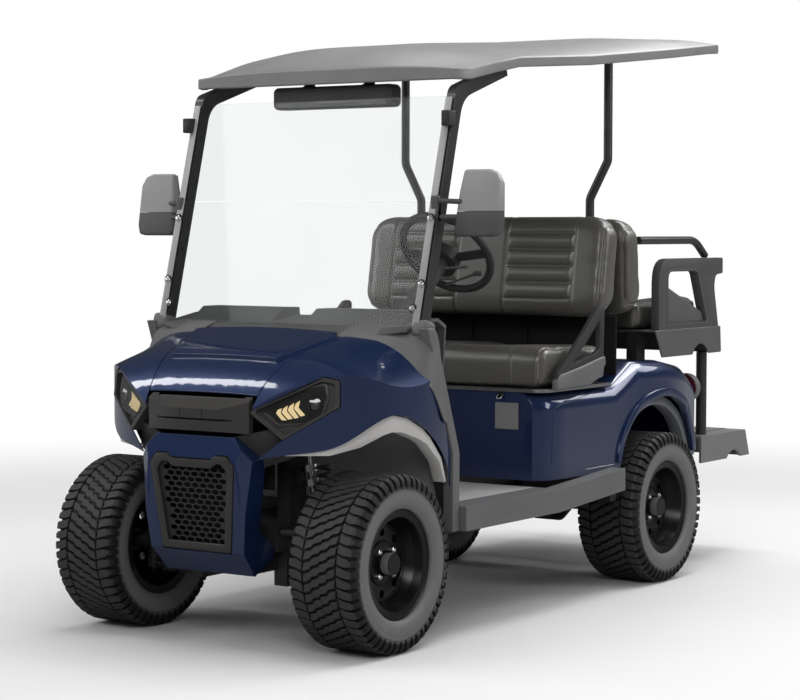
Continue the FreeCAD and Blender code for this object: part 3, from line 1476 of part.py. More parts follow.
rail_bar_radius = 15.0
grab_z = 1276.0
grab_bend = 150.0
grab_inset = 17.0
grab_x = arm_x - grab_inset


def grab_rails():
    """Hand rails above the armrests, from the rear seat back down to the armrest's end."""
    rear = tray_rear_y - arm_bar * 2.4
    back = seat_back_rear()
    points = [vec(grab_x, rear_back_y, grab_z), vec(grab_x, rear - arm_bar * 2.6, grab_z),
              vec(grab_x, rear, arm_top_z + seat_gap + rail_bar_radius / 2)]
    rail = clear_of(rod(points, rail_bar_radius, grab_bend), back, vec(0, seat_gap, 0))
    foot_space = box((0, rear - arm_bar * 2, 0), (body_half_width, tail_y, arm_top_z + seat_gap))
    return both_sides(rail.cut(foot_space))


step_post_inset = 48.0
step_post_x = platform_half_width - step_post_inset
step_post_y = 1152.0
step_post_radius = 21.0


def step_posts():
    """Uprights from the tray's rear wall down to the foot platform."""
    return both_sides(cylinder(vec(step_post_x, step_post_y, platform_z + seat_gap),
                               vec(step_post_x, step_post_y, tray_low_z - seat_gap), step_post_radius))


def foot_platform():
    """Moulded foot board with a raised tread pad and a flared skirt, scooped at the sides."""
    low = platform_z - platform_skirt
    rear_top = tail_y - platform_flare
    half = platform_half_width
    outline = [(platform_front_y, low), (tail_y, low), (rear_top, platform_z), (platform_front_y, platform_z)]
    block = side_plate(outline, -half, half)
    core = box((platform_wall - half, platform_front_y - overrun, low - overrun),
               (half - platform_wall, rear_top - platform_wall, platform_z - platform_top))
    scoop_z = low - platform_skirt / 2
    scoop = cylinder(vec(-half - overrun, rear_top - platform_skirt, scoop_z),
                     vec(half + overrun, rear_top - platform_skirt, scoop_z), platform_skirt * 0.8)
    board = block.cut(core).cut(scoop)
    for x in both(half - platform_hole_inset):
        for y in (platform_front_y + platform_hole_inset, rear_top - platform_hole_inset):
            board = board.cut(cylinder(vec(x, y, low), vec(x, y, platform_z + overrun), platform_hole_radius))
    pad_half_width = half - platform_hole_inset - tread_pad_margin
    pad = box((-pad_half_width, step_post_y + step_post_radius + tread_pad_margin, platform_z),
              (pad_half_width, rear_top - tread_pad_margin, platform_z + tread_pad_height))
    return fused([board, pad])


def main():
    os.makedirs("parts", exist_ok=True)
    make_wheels()
    save("chassis_frame", chassis_frame())
    save("front_arms", front_arms())
    save("front_shocks", front_shocks())
    save("knuckle_left", knuckle())
    save("knuckle_right", mirrored(knuckle()))
    save("steering_rack", steering_rack())
    save("rear_axle", rear_axle())
    save("rear_springs", rear_springs())
    save("battery_pack", battery_pack())
    shell = front_shell()
    save("hood", hood(shell))
    left = fender(shell)
    save("fender_left", left)
    save("fender_right", mirrored(left))
    save("lamp_bar", lamp_bar())
    save("headlamps", headlamps())
    save("front_bumper", front_bumper())
    save("grille", grille())
    save("dashboard", dashboard())
    save("cowl_sides", cowl_sides())
    save("floor_pan", floor_pan())
    save("sills", sills())
    save("pedals", pedals())
    save("steering_column", steering_column())
    save("steering_wheel", steering_wheel())
    save("rear_body", rear_body())
    save("charger_flap", charger_flap())
    save("tail_lamps", tail_lamps())
    save("seat_pan", seat_pan())
    save("seat_cushion_front", seat_cushion_front())
    save("seat_back_front", seat_back_front())
    save("seat_back_rear", seat_back_rear())
    save("seat_cushion_rear", seat_cushion_rear())
    save("seat_frame", seat_frame())
    save("hip_restraints", hip_restraints())
    save("front_posts", front_posts())
    save("rear_posts", rear_posts())
    save("roof", roof())
    save("windscreen", windscreen())
    save("light_bar", light_bar())
    save("mirrors", mirrors())
    save("rear_tray", rear_tray())
    save("armrests", armrests())
    save("grab_rails", grab_rails())
    save("step_posts", step_posts())
    save("foot_platform", foot_platform())


main()
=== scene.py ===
import bpy
import math
from mathutils import Matrix, Vector
from mathutils.bvhtree import BVHTree


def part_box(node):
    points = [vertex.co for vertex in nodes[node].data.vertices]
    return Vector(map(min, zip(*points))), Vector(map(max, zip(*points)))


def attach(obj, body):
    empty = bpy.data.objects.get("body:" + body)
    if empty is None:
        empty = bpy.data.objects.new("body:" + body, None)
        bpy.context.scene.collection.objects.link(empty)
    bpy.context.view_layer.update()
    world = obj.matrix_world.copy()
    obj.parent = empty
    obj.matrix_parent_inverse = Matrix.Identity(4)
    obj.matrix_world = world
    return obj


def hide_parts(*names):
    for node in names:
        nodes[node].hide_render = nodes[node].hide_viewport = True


# Two-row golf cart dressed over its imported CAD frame. Metres, nose to -Y, +X is the driver's side.
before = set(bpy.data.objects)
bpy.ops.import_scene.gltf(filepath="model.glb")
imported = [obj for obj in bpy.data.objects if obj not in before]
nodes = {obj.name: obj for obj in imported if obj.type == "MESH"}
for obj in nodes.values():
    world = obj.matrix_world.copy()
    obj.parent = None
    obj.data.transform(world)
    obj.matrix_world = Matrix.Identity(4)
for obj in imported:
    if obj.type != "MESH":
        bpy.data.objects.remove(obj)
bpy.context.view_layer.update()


# A wrapped socket: expressions on it add Math nodes, and node() adds any other node
class Field:
    def __init__(self, tree, socket=None):
        self.tree, self.socket = tree, socket

    def node(self, kind, settings=None, inputs=None, out=0):
        node = self.tree.nodes.new(kind)
        for name, value in (settings or {}).items():
            setattr(node, name, value)
        for name, value in (inputs or {}).items():
            if isinstance(value, Field):
                self.tree.links.new(value.socket, node.inputs[name])
            else:
                node.inputs[name].default_value = value
        return Field(self.tree, node.outputs[out])

    def maths(self, operation, *values):
        return self.node("ShaderNodeMath", {"operation": operation}, dict(enumerate(values)))

    def __add__(self, other): return self.maths("ADD", self, other)
    def __radd__(self, other): return self.maths("ADD", other, self)
    def __sub__(self, other): return self.maths("SUBTRACT", self, other)
    def __rsub__(self, other): return self.maths("SUBTRACT", other, self)
    def __mul__(self, other): return self.maths("MULTIPLY", self, other)
    def __rmul__(self, other): return self.maths("MULTIPLY", other, self)
    def out(self, name): return Field(self.tree, self.socket.node.outputs[name])


# One material: constants go straight onto the shader, detail(place) returns what varies
def makeMaterial(name, constants, detail):
    material = bpy.data.materials.new(name)
    material.use_nodes = True
    tree = material.node_tree
    shader = tree.nodes["Principled BSDF"]
    for key, value in constants.items():
        shader.inputs[key].default_value = value
    place = Field(tree).node("ShaderNodeTexCoord", out=3)
    for key, value in detail(place).items():
        tree.links.new(value.socket, shader.inputs[key])
    return material


def noise(place, scale, rough=0.5, steps=3.0):
    return place.node("ShaderNodeTexNoise", {}, {"Vector": place, "Scale": scale, "Detail": steps,
                                                 "Roughness": rough})


def cells(place, scale, feature="F1"):
    return place.node("ShaderNodeTexVoronoi", {"feature": feature}, {"Vector": place, "Scale": scale})


def bump(height, strength, distance=0.001):
    return height.node("ShaderNodeBump", {}, {"Height": height, "Strength": strength, "Distance": distance})


def blendColor(factor, first, second):
    return factor.node("ShaderNodeMix", {"data_type": "RGBA"}, {0: factor, 6: first, 7: second}, out=2)


def ramp(value, low, high):
    return value.node("ShaderNodeMapRange", {}, {"Value": value, "From Min": low, "From Max": high})


paint = {"deep": (0.0062, 0.0165, 0.058, 1), "light": (0.0105, 0.0280, 0.098, 1), "flake": 2600.0}


def paintDetail(place):
    flake = cells(place, paint["flake"])
    drift = noise(place, 3.0)
    color = blendColor(ramp(flake.out("Color"), 0.2, 0.9), paint["deep"], paint["light"])
    return {"Base Color": color, "Roughness": 0.30 + 0.05 * drift, "Normal": bump(flake, 0.04, 0.0002)}


def grained(low, high, scale=900.0, depth=0.35, rough=0.52):
    def detail(place):
        grain = noise(place, scale, 0.6, 2.0)
        patch = noise(place, 9.0)
        color = blendColor(patch, (*low, 1), (*high, 1))
        return {"Base Color": color, "Roughness": rough + 0.10 * patch, "Normal": bump(grain, depth, 0.0004)}
    return detail


leather = {"dark": (0.050, 0.0475, 0.040, 1), "light": (0.078, 0.0745, 0.063, 1), "pore": 620.0}


def leatherDetail(place):
    pore = cells(place, leather["pore"], "DISTANCE_TO_EDGE")
    fold = noise(place, 34.0, 0.6)
    patch = noise(place, 5.0)
    height = ramp(pore, 0.0, 0.25) * 0.6 + fold * 0.8
    color = blendColor(patch * 0.6 + ramp(pore, 0.0, 0.3) * 0.4, leather["dark"], leather["light"])
    return {"Base Color": color, "Roughness": 0.26 + 0.14 * fold, "Normal": bump(height, 0.30, 0.0006)}


# Tyre rubber: a smooth pale wall inside the tread's darker blocks, told apart by the distance from the axle; the
# grooves and the lower walls of the blocks are near-black as painted shade
rubber = {"wallEdge": (0.228, 0.246), "blockTops": (0.2715, 0.2755), "paintedGrooveShade": (0.004, 0.004, 0.004, 1),
          "worn": ((0.018, 0.018, 0.018, 1), (0.032, 0.032, 0.032, 1)),
          "side": ((0.10, 0.10, 0.103, 1), (0.125, 0.125, 0.128, 1))}


def rubberAround(axleY, axleZ):
    def detail(place):
        dust = noise(place, 22.0, 0.7)
        grain = noise(place, 700.0, 0.6, 2.0)
        parts = place.node("ShaderNodeSeparateXYZ", {}, {0: place})
        along, up = parts.out("Y") - axleY, parts.out("Z") - axleZ
        reach = place.maths("SQRT", along * along + up * up)
        wall = 1.0 - ramp(reach, *rubber["wallEdge"])
        # Below the block tops the colour falls to near-black: painted shade in the grooves
        tread = blendColor(ramp(reach, *rubber["blockTops"]), rubber["paintedGrooveShade"], blendColor(dust, *rubber["worn"]))
        color = blendColor(wall, tread, blendColor(dust, *rubber["side"]))
        rough = 0.55 + 0.22 * dust - 0.12 * wall
        return {"Base Color": color, "Roughness": rough, "Normal": bump(grain, 0.25, 0.0006)}
    return detail


def matDetail(place):
    dots = ramp(cells(place, 110.0), 0.25, 0.35)
    wear = noise(place, 6.0)
    color = blendColor(wear, (0.26, 0.26, 0.262, 1), (0.33, 0.33, 0.332, 1))
    return {"Base Color": color, "Roughness": 0.6 + 0.15 * wear, "Normal": bump(dots, 0.5, 0.001)}


def satinDetail(low, high, rough=0.32):
    def detail(place):
        peel = noise(place, 180.0, 0.5, 2.0)
        patch = noise(place, 14.0)
        color = blendColor(patch, (*low, 1), (*high, 1))
        return {"Base Color": color, "Roughness": rough + 0.10 * patch, "Normal": bump(peel, 0.12, 0.0004)}
    return detail


def brushedDetail(place):
    scratch = noise(place, 420.0, 0.7)
    return {"Roughness": 0.20 + 0.16 * scratch, "Normal": bump(scratch, 0.08, 0.0003)}


def glowing(color):
    def detail(place):
        return {"Emission Color": blendColor(noise(place, 60.0), (*color, 1), (*[c * 0.9 for c in color], 1))}
    return detail


# Each finish: what is the same all over the surface, and what varies
finishes = {
    "bodyPaint": ({"Metallic": 0.45, "Specular IOR Level": 0.2, "Coat Weight": 1.0, "Coat Roughness": 0.055,
                   "Coat IOR": 1.5}, paintDetail),
    "grainedPlastic": ({"Specular IOR Level": 0.3}, grained((0.020, 0.020, 0.021), (0.030, 0.030, 0.031))),
    "lampPlastic": ({}, grained((0.020, 0.019, 0.018), (0.032, 0.030, 0.028), 1200.0, 0.2, 0.36)),
    # Pale grey of the front arch band: a painted highlight along the flare's lip
    "flareGrey": ({}, grained((0.42, 0.41, 0.40), (0.50, 0.49, 0.48), 700.0, 0.3, 0.5)),
    "linerGrey": ({}, grained((0.11, 0.115, 0.13), (0.15, 0.155, 0.17), 500.0, 0.25, 0.45)),
    "platformGrey": ({}, grained((0.12, 0.12, 0.123), (0.16, 0.16, 0.163), 700.0, 0.3, 0.46)),
    "trayPlastic": ({}, grained((0.062, 0.062, 0.062), (0.084, 0.084, 0.084), 800.0, 0.3, 0.40)),
    "sillPlastic": ({}, grained((0.085, 0.085, 0.087), (0.115, 0.115, 0.118), 800.0, 0.3, 0.48)),
    # Pale grey of the mirrors' upper shell: painted light falling on their tops
    "mirrorPlastic": ({}, grained((0.19, 0.187, 0.185), (0.23, 0.227, 0.225), 900.0, 0.25, 0.36)),
    "mirrorDark": ({}, grained((0.045, 0.045, 0.045), (0.060, 0.060, 0.060), 900.0, 0.25, 0.42)),
    # Near-black: painted shade on the sheets behind the grille, in the nose recess and under the front backrest; also
    # the latch plate's own black
    "shadowBlack": ({"Specular IOR Level": 0.2},
                    grained((0.004, 0.004, 0.004), (0.008, 0.008, 0.008), 600.0, 0.2, 0.7)),
    "roofPlastic": ({"Specular IOR Level": 0.9},
                    grained((0.125, 0.123, 0.122), (0.16, 0.158, 0.157), 500.0, 0.25, 0.34)),
    "seatLeather": ({"Sheen Weight": 0.04, "Coat Weight": 0.5, "Coat Roughness": 0.24}, leatherDetail),
    # Pale piping: a painted highlight along the seams on a real cord
    "seatPiping": ({}, satinDetail((0.16, 0.15, 0.14), (0.22, 0.21, 0.195), 0.42)),
    "tyreRubber": ({}, rubberAround(-1.196, 0.2795)),
    "tyreRubberRear": ({}, rubberAround(0.596, 0.2795)),
    "floorMat": ({}, matDetail),
    "rimBlack": ({"Specular IOR Level": 0.35}, satinDetail((0.0016, 0.0016, 0.0017), (0.0030, 0.0030, 0.0032), 0.26)),
    "hubGrey": ({}, satinDetail((0.10, 0.10, 0.102), (0.13, 0.13, 0.132), 0.45)),
    "frameBlack": ({}, satinDetail((0.010, 0.010, 0.011), (0.020, 0.020, 0.021), 0.45)),
    "postBlack": ({}, satinDetail((0.020, 0.020, 0.021), (0.030, 0.030, 0.032), 0.24)),
    "batteryCase": ({}, satinDetail((0.03, 0.03, 0.03), (0.05, 0.05, 0.05), 0.5)),
    # Pale grey of the sheet's edge over the posts: painted sheen standing for the light along each post
    "edgeGrey": ({}, satinDetail((0.24, 0.24, 0.24), (0.32, 0.32, 0.32), 0.30)),
    "redLens": ({"Coat Weight": 1.0, "Coat Roughness": 0.04},
                satinDetail((0.05, 0.004, 0.004), (0.09, 0.006, 0.006), 0.2)),
    "lampBall": ({"Coat Weight": 1.0}, satinDetail((0.09, 0.09, 0.09), (0.13, 0.13, 0.13), 0.12)),
    "springSteel": ({"Base Color": (0.36, 0.36, 0.37, 1), "Metallic": 1.0}, brushedDetail),
    "chrome": ({"Base Color": (0.82, 0.82, 0.84, 1), "Metallic": 1.0}, brushedDetail),
    "mirrorSilver": ({"Base Color": (0.85, 0.86, 0.87, 1), "Metallic": 1.0}, brushedDetail),
    "amberGlow": ({"Base Color": (0.02, 0.02, 0.02, 1), "Roughness": 0.3, "Emission Strength": 1.25},
                  glowing((1.0, 0.78, 0.42))),
    # A white glow on a part that is no lamp: painted highlight on the projector's upper rim
    "whiteGlow": ({"Base Color": (0.02, 0.02, 0.02, 1), "Roughness": 0.3, "Emission Strength": 1.0},
                  glowing((1.0, 1.0, 1.0))),
}
materials = {name: makeMaterial(name, *finish) for name, finish in finishes.items()}


# A material with its shader taken out, and what mixes two others in its place
def makeBare(name):
    material = bpy.data.materials.new(name)
    material.use_nodes = True
    tree = material.node_tree
    tree.nodes.remove(tree.nodes["Principled BSDF"])
    return material, Field(tree)


def mixShaders(material, factor, first, second):
    tree = material.node_tree
    mixed = factor.node("ShaderNodeMixShader", {}, {0: factor, 1: first, 2: second})
    tree.links.new(mixed.socket, tree.nodes["Material Output"].inputs["Surface"])


# Clear sheet: see-through with a mirror-like gloss that grows at a glancing angle
clear = {"clearScreen": {"tint": (0.93, 0.94, 0.94, 1), "gloss": 0.10},
         "clearLens": {"tint": (0.80, 0.80, 0.80, 1), "gloss": 0.35}}


def makeClear(name, sheet):
    material, start = makeBare(name)
    through = start.node("ShaderNodeBsdfTransparent", {}, {"Color": sheet["tint"]})
    shine = start.node("ShaderNodeBsdfGlossy", {}, {"Color": (1, 1, 1, 1), "Roughness": 0.03})
    facing = start.node("ShaderNodeFresnel", {}, {"IOR": 1.35})
    haze = noise(start.node("ShaderNodeTexCoord", out=3), 3.0)
    direct = 1.0 - start.node("ShaderNodeLightPath").out("Is Glossy Ray")
    mixShaders(material, (facing * sheet["gloss"] + 0.01 * haze) * direct, through, shine)
    return material


for name, sheet in clear.items():
    materials[name] = makeClear(name, sheet)
print("materials made")

nodeMaterials = {
    "bodyPaint": ["hood", "fender_left", "fender_right", "front_bumper", "rear_body"],
    "grainedPlastic": ["grille", "dashboard", "cowl_sides", "steering_column", "mirrors", "hip_restraints",
                       "rear_tray", "sills", "steering_wheel", "light_bar"],
    "lampPlastic": ["lamp_bar", "headlamps"],
    "platformGrey": ["foot_platform", "charger_flap"],
    "roofPlastic": ["roof"],
    "floorMat": ["floor_pan"],
    "seatLeather": ["seat_cushion_front", "seat_back_front", "seat_back_rear", "seat_cushion_rear"],
    "frameBlack": ["chassis_frame", "front_arms", "knuckle_left", "knuckle_right", "steering_rack", "rear_axle",
                   "rear_springs", "seat_frame", "pedals"],
    "postBlack": ["front_posts", "rear_posts", "armrests", "grab_rails", "step_posts"],
    "batteryCase": ["battery_pack"],
    "springSteel": ["front_shocks", "seat_pan"],
    "redLens": ["tail_lamps"],
    "clearScreen": ["windscreen"],
    "tyreRubber": [name for name in nodes if name.startswith("tyre_")],
    "rimBlack": [name for name in nodes if name.startswith("rim_")],
}
for finish, names in nodeMaterials.items():
    for name in names:
        nodes[name].data.materials.clear()
        nodes[name].data.materials.append(materials[finish])
print("frame dressed")


stage = {"size": 60.0, "drop": 0.0005, "floor": (0.60, 0.60, 0.60, 1), "floorMirrored": (0.06, 0.06, 0.07, 1),
         "mirrored": 0.22, "whiteFrom": 1.9, "whiteTo": 6.6}


def clearSelection():
    if bpy.context.object and bpy.context.object.mode != "OBJECT":
        bpy.ops.object.mode_set(mode="OBJECT")
    bpy.ops.object.select_all(action="DESELECT")


def makeFloor():
    clearSelection()
    bpy.ops.mesh.primitive_plane_add(size=stage["size"], location=(0, 0, -stage["drop"]))
    floor = bpy.context.object
    floor.name = "studioFloor"
    material, start = makeBare("studioFloor")
    place = start.node("ShaderNodeTexCoord", out=3)
    reach = start.node("ShaderNodeVectorMath", {"operation": "LENGTH"}, {0: place}, out=1)
    path = start.node("ShaderNodeLightPath")  # its first output is the camera's own ray
    mirrored = path.out("Is Glossy Ray")
    shade = blendColor(mirrored * 0.72, stage["floor"], stage["floorMirrored"])
    matt = start.node("ShaderNodeBsdfDiffuse", {}, {"Color": shade})
    white = start.node("ShaderNodeEmission", {}, {"Color": (1, 1, 1, 1), "Strength": 1.0})
    seen = start.maths("MAXIMUM", path, path.out("Is Transmission Ray"))
    seen = start.maths("MAXIMUM", seen, mirrored * stage["mirrored"])
    far = start.node("ShaderNodeMapRange", {"interpolation_type": "SMOOTHSTEP"},
                     {"Value": reach, "From Min": stage["whiteFrom"], "From Max": stage["whiteTo"]})
    mixShaders(material, far * seen, matt, white)
    floor.data.materials.append(material)


# White to the eye; mirrors see a dim room, brighter overhead and along the horizon
def makeWorld():
    world = bpy.data.worlds.new("studioWorld")
    bpy.context.scene.world = world
    world.use_nodes = True
    start = Field(world.node_tree)
    back = world.node_tree.nodes["Background"]
    back.inputs["Color"].default_value = (1, 1, 1, 1)
    path = start.node("ShaderNodeLightPath")
    mirrored = path.out("Is Glossy Ray")
    bright = start.maths("MAXIMUM", path, path.out("Is Transmission Ray"))
    height = start.node("ShaderNodeSeparateXYZ", {}, {0: start.node("ShaderNodeTexCoord")}).out("Z")
    horizon = (1.0 - ramp(start.maths("ABSOLUTE", height), 0.04, 0.18)) * mirrored
    dimmed = 1.0 - 0.75 * mirrored
    around = (0.20 + 0.30 * ramp(height, 0.25, 0.95)) * dimmed + stage["mirrored"] * 0.5 * horizon
    world.node_tree.links.new((bright * (1.0 - around) + around).socket, back.inputs["Strength"])


lamps = [
    {"name": "topSoftbox", "place": (0.4, 0.2, 4.8), "aim": (0, 0, 0.8), "size": (3.2, 4.2), "power": 190.0,
     "mirrored": False},
    {"name": "frontSoftbox", "place": (3.4, -6.0, 4.0), "aim": (0, -0.8, 0.7), "size": (2.6, 2.0), "power": 130.0},
    {"name": "apronStrip", "place": (-3.10, -2.28, 4.4), "aim": (0, -1.4, 0.85), "size": (1.8, 0.50), "power": 32.0},
    {"name": "rearStrip", "place": (1.2, 3.2, 3.9), "aim": (0.2, -1.3, 0.7), "size": (4.0, 0.9), "power": 80.0},
    {"name": "shoulderStrip", "place": (0.1, 0.85, 4.4), "aim": (0.4, -1.1, 0.9), "size": (3.0, 0.50), "power": 34.0},
    {"name": "haunchStrip", "place": (2.7, 4.6, 4.0), "aim": (0.5, 0.5, 0.8), "size": (2.4, 2.0), "power": 60.0},
    {"name": "seatSoftbox", "place": (-3.2, -5.6, 4.4), "aim": (0.3, -0.2, 0.9), "size": (2.4, 2.2), "power": 60.0},
    {"name": "leftSoftbox", "place": (-5.5, -3.0, 2.6), "aim": (0, -0.4, 0.9), "size": (2.2, 2.2), "power": 60.0},
    {"name": "sideSoftbox", "place": (6.0, 1.6, 3.0), "aim": (0, 0.2, 0.7), "size": (3.0, 1.6), "power": 90.0},
]


def makeLamps():
    for lamp in lamps:
        clearSelection()
        bpy.ops.object.light_add(type="AREA", location=lamp["place"])
        light = bpy.context.object
        light.name = lamp["name"]
        light.data.shape = "RECTANGLE"
        light.data.size, light.data.size_y = lamp["size"]
        light.data.energy = lamp["power"]
        light.visible_glossy = lamp.get("mirrored", True)
        back = (light.location - Vector(lamp["aim"])).normalized()
        across = (Vector((1, 0, 0)) - back * back.x).normalized()
        light.rotation_euler = Matrix((across, back.cross(across), back)).transposed().to_euler()


view = {"place": (4.4816, -7.0213, 1.3151), "aim": (-0.0155, -0.300, 0.8881), "lens": 102.65, "roll": 0.1040}


def makeCamera():
    clearSelection()
    bpy.ops.object.camera_add(location=view["place"])
    camera = bpy.context.object
    camera.data.lens, camera.data.sensor_width = view["lens"], 36.0
    camera.data.clip_end = 200.0
    turn = (Vector(view["aim"]) - camera.location).to_track_quat("-Z", "Y")
    camera.rotation_euler = (turn.to_matrix() @ Matrix.Rotation(math.radians(view["roll"]), 3, "Z")).to_euler()
    bpy.context.scene.camera = camera


makeFloor()
makeWorld()
makeLamps()
makeCamera()
bpy.context.scene.view_settings.view_transform = "Standard"
print("stage, lamps and camera set")


# Small modelling steps that the pieces share
def usePiece(obj):
    clearSelection()
    obj.select_set(True)
    bpy.context.view_layer.objects.active = obj


def inEditMode(obj, *steps):
    usePiece(obj)
    bpy.ops.object.mode_set(mode="EDIT")
    for step in steps:
        step()
    bpy.ops.object.mode_set(mode="OBJECT")


def selectAll():
    bpy.ops.mesh.select_all(action="SELECT")


def weld():
    bpy.ops.mesh.remove_doubles(threshold=0.00005)


def faceOut():
    bpy.ops.mesh.normals_make_consistent(inside=False)


def applyModifier(obj, kind, **settings):
    usePiece(obj)
    modifier = obj.modifiers.new(kind.lower(), kind)
    for key, value in settings.items():
        setattr(modifier, key, value)
    bpy.ops.object.modifier_apply(modifier=modifier.name)


def roundEdges(obj, width, segments=2, angle=0.5):
    applyModifier(obj, "BEVEL", width=width, segments=segments, limit_method="ANGLE", angle_limit=angle)


def cutAway(obj, cutter):
    applyModifier(obj, "BOOLEAN", operation="DIFFERENCE", object=cutter, solver="EXACT")
    bpy.data.objects.remove(cutter)


def settle(obj):
    usePiece(obj)
    bpy.ops.object.transform_apply(location=True, rotation=True, scale=True)


def joinPieces(pieces):
    clearSelection()
    for piece in pieces:
        piece.select_set(True)
    bpy.context.view_layer.objects.active = pieces[0]
    if len(pieces) > 1:
        bpy.ops.object.join()
    return pieces[0]


def addObject(name, data):
    obj = bpy.data.objects.new(name, data)
    bpy.context.collection.objects.link(obj)
    return obj


def copyPiece(obj, mirror=False, shift=(0, 0, 0)):
    twin = addObject(obj.name + "Copy", obj.data.copy())
    if mirror:
        twin.data.transform(Matrix.Diagonal((-1, 1, 1, 1)))
        twin.data.flip_normals()
    twin.data.transform(Matrix.Translation(shift))
    return twin


def finishPiece(obj, name, finish, body="cart", smooth=35.0):
    settle(obj)
    obj.name = name
    obj.data.name = name
    obj.data.materials.clear()
    obj.data.materials.append(materials[finish])
    if smooth:
        usePiece(obj)
        bpy.ops.object.shade_smooth_by_angle(angle=math.radians(smooth))
    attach(obj, body)


# A piece and its mirrored twin on the far side
def finishPair(piece, name, finish, smooth=35.0):
    twin = copyPiece(piece, True)
    finishPiece(piece, name + "Left", finish, smooth=smooth)
    finishPiece(twin, name + "Right", finish, smooth=smooth)


def middleOf(low, high):
    return Vector([(a + b) / 2 for a, b in zip(low, high)])


# A closed line of (x, y) points, filled and pushed up along Z, then turned into a mesh
def cutPlate(points, thick, soften=0.0, rounding=2):
    curve = bpy.data.curves.new("plate", "CURVE")
    curve.dimensions = "2D"
    curve.fill_mode = "BOTH"
    spline = curve.splines.new("POLY")
    spline.points.add(len(points) - 1)
    for point, (x, y) in zip(spline.points, points):
        point.co = (x, y, 0, 1)
    spline.use_cyclic_u = True
    curve.extrude = thick / 2
    plate = addObject("plate", curve)
    plate.location.z = thick / 2
    usePiece(plate)
    bpy.ops.object.convert(target="MESH")
    plate = bpy.context.object
    settle(plate)
    inEditMode(plate, selectAll, weld, lambda: bpy.ops.mesh.dissolve_limited(angle_limit=0.02), faceOut)
    if soften:
        roundEdges(plate, soften, rounding, 0.6)
    return plate


# Puts a plate's X, Y and Z along three world directions at a place
def setAlong(obj, place, xAxis, yAxis):
    x = Vector(xAxis).normalized()
    z = x.cross(Vector(yAxis)).normalized()
    turn = Matrix((x, z.cross(x), z)).transposed().to_4x4()
    obj.data.transform(Matrix.Translation(place) @ turn)
    return obj


# Stands a plate drawn in (y, z) at x, its thickness towards +X
def standAt(plate, x):
    return setAlong(plate, (x, 0, 0), (0, 1, 0), (0, 0, 1))


# Faces a plate drawn in (x, z) forwards at y, its thickness towards the nose
def faceAt(plate, y):
    return setAlong(plate, (0, y, 0), (1, 0, 0), (0, 0, 1))


# A round bar along points, softly curved between them
def drawBar(points, radius, sides):
    curve = bpy.data.curves.new("bar", "CURVE")
    curve.dimensions = "3D"
    curve.bevel_depth = radius
    curve.bevel_resolution = sides
    curve.use_fill_caps = True
    spline = curve.splines.new("NURBS")
    spline.points.add(len(points) - 1)
    for point, co in zip(spline.points, points):
        point.co = (*co, 1)
    spline.order_u = 3
    spline.use_endpoint_u = True
    spline.resolution_u = 6
    bar = addObject("bar", curve)
    usePiece(bar)
    bpy.ops.object.convert(target="MESH")
    bar = bpy.context.object
    inEditMode(bar, selectAll, weld, faceOut)
    return bar


# A profile of (x, r) points spun round the X axis
def spinProfile(profile, steps, closed=True):
    curve = bpy.data.curves.new("profile", "CURVE")
    curve.dimensions = "3D"
    spline = curve.splines.new("POLY")
    spline.points.add(len(profile) - 1)
    for point, (x, r) in zip(spline.points, profile):
        point.co = (x, 0, r, 1)
    spline.use_cyclic_u = closed
    ring = addObject("ring", curve)
    usePiece(ring)
    bpy.ops.object.convert(target="MESH")
    ring = bpy.context.object

    def spin():
        bpy.ops.mesh.spin(steps=steps, angle=2 * math.pi, center=(0, 0, 0), axis=(1, 0, 0))

    inEditMode(ring, selectAll, spin, selectAll, weld, faceOut)
    return ring


# A block with every edge rounded
def softBlock(low, high, soften, rounding=3):
    clearSelection()
    bpy.ops.mesh.primitive_cube_add(size=1, location=middleOf(low, high))
    block = bpy.context.object
    block.scale = [b - a for a, b in zip(low, high)]
    settle(block)
    applyModifier(block, "BEVEL", width=soften, segments=rounding, limit_method="NONE")
    return block


# Wheels: name, middle, outer side and body of each
wheelPlaces = [("FrontLeft", (0.475, -1.196, 0.2795), 1, "front_left"),
               ("FrontRight", (-0.475, -1.196, 0.2795), -1, "front_right"),
               ("RearLeft", (0.475, 0.596, 0.2795), 1, "rear_left"),
               ("RearRight", (-0.475, 0.596, 0.2795), -1, "rear_right")]
tyre = {"radius": 0.2795, "base": 0.2705, "pitches": 26, "steps": 90, "lean": 0.30, "sunk": 0.001, "soften": 0.0010,
        "shoulderAt": 0.084, "shoulderAlong": {1: 0.10, -1: 0.30}, "lugAt": 0.020, "lugHalf": (0.0090, 0.0118),
        "wall": [(0.105, 0.1740), (0.1125, 0.1755), (0.1150, 0.1800), (0.1180, 0.1830), (0.1215, 0.1950),
                 (0.1235, 0.2080), (0.1232, 0.2200), (0.1215, 0.2320), (0.1222, 0.2340), (0.1175, 0.2440),
                 (0.1120, 0.2560), (0.1040, 0.2670), (0.0800, 0.2700)],
        "bead": [(-0.095, 0.1720), (0.095, 0.1720)]}
zigzagBlock = [(-0.0600, -0.0150), (-0.0360, -0.0150), (-0.0270, -0.0065), (-0.0020, -0.0065), (0.0035, 0.0170),
               (-0.0235, 0.0170), (-0.0325, 0.0085), (-0.0560, 0.0085)]
shoulderBlock = [(0.0650, -0.0140), (0.0820, -0.0155), (0.1040, -0.0110), (0.1040, 0.0135), (0.0850, 0.0110),
                 (0.0650, 0.0125)]
lugProfile = [(0.1035, 0.2795), (0.1160, 0.2715), (0.1218, 0.2620), (0.1247, 0.2480), (0.1245, 0.2370),
              (0.1225, 0.2360), (0.1100, 0.2600), (0.1035, 0.2690)]


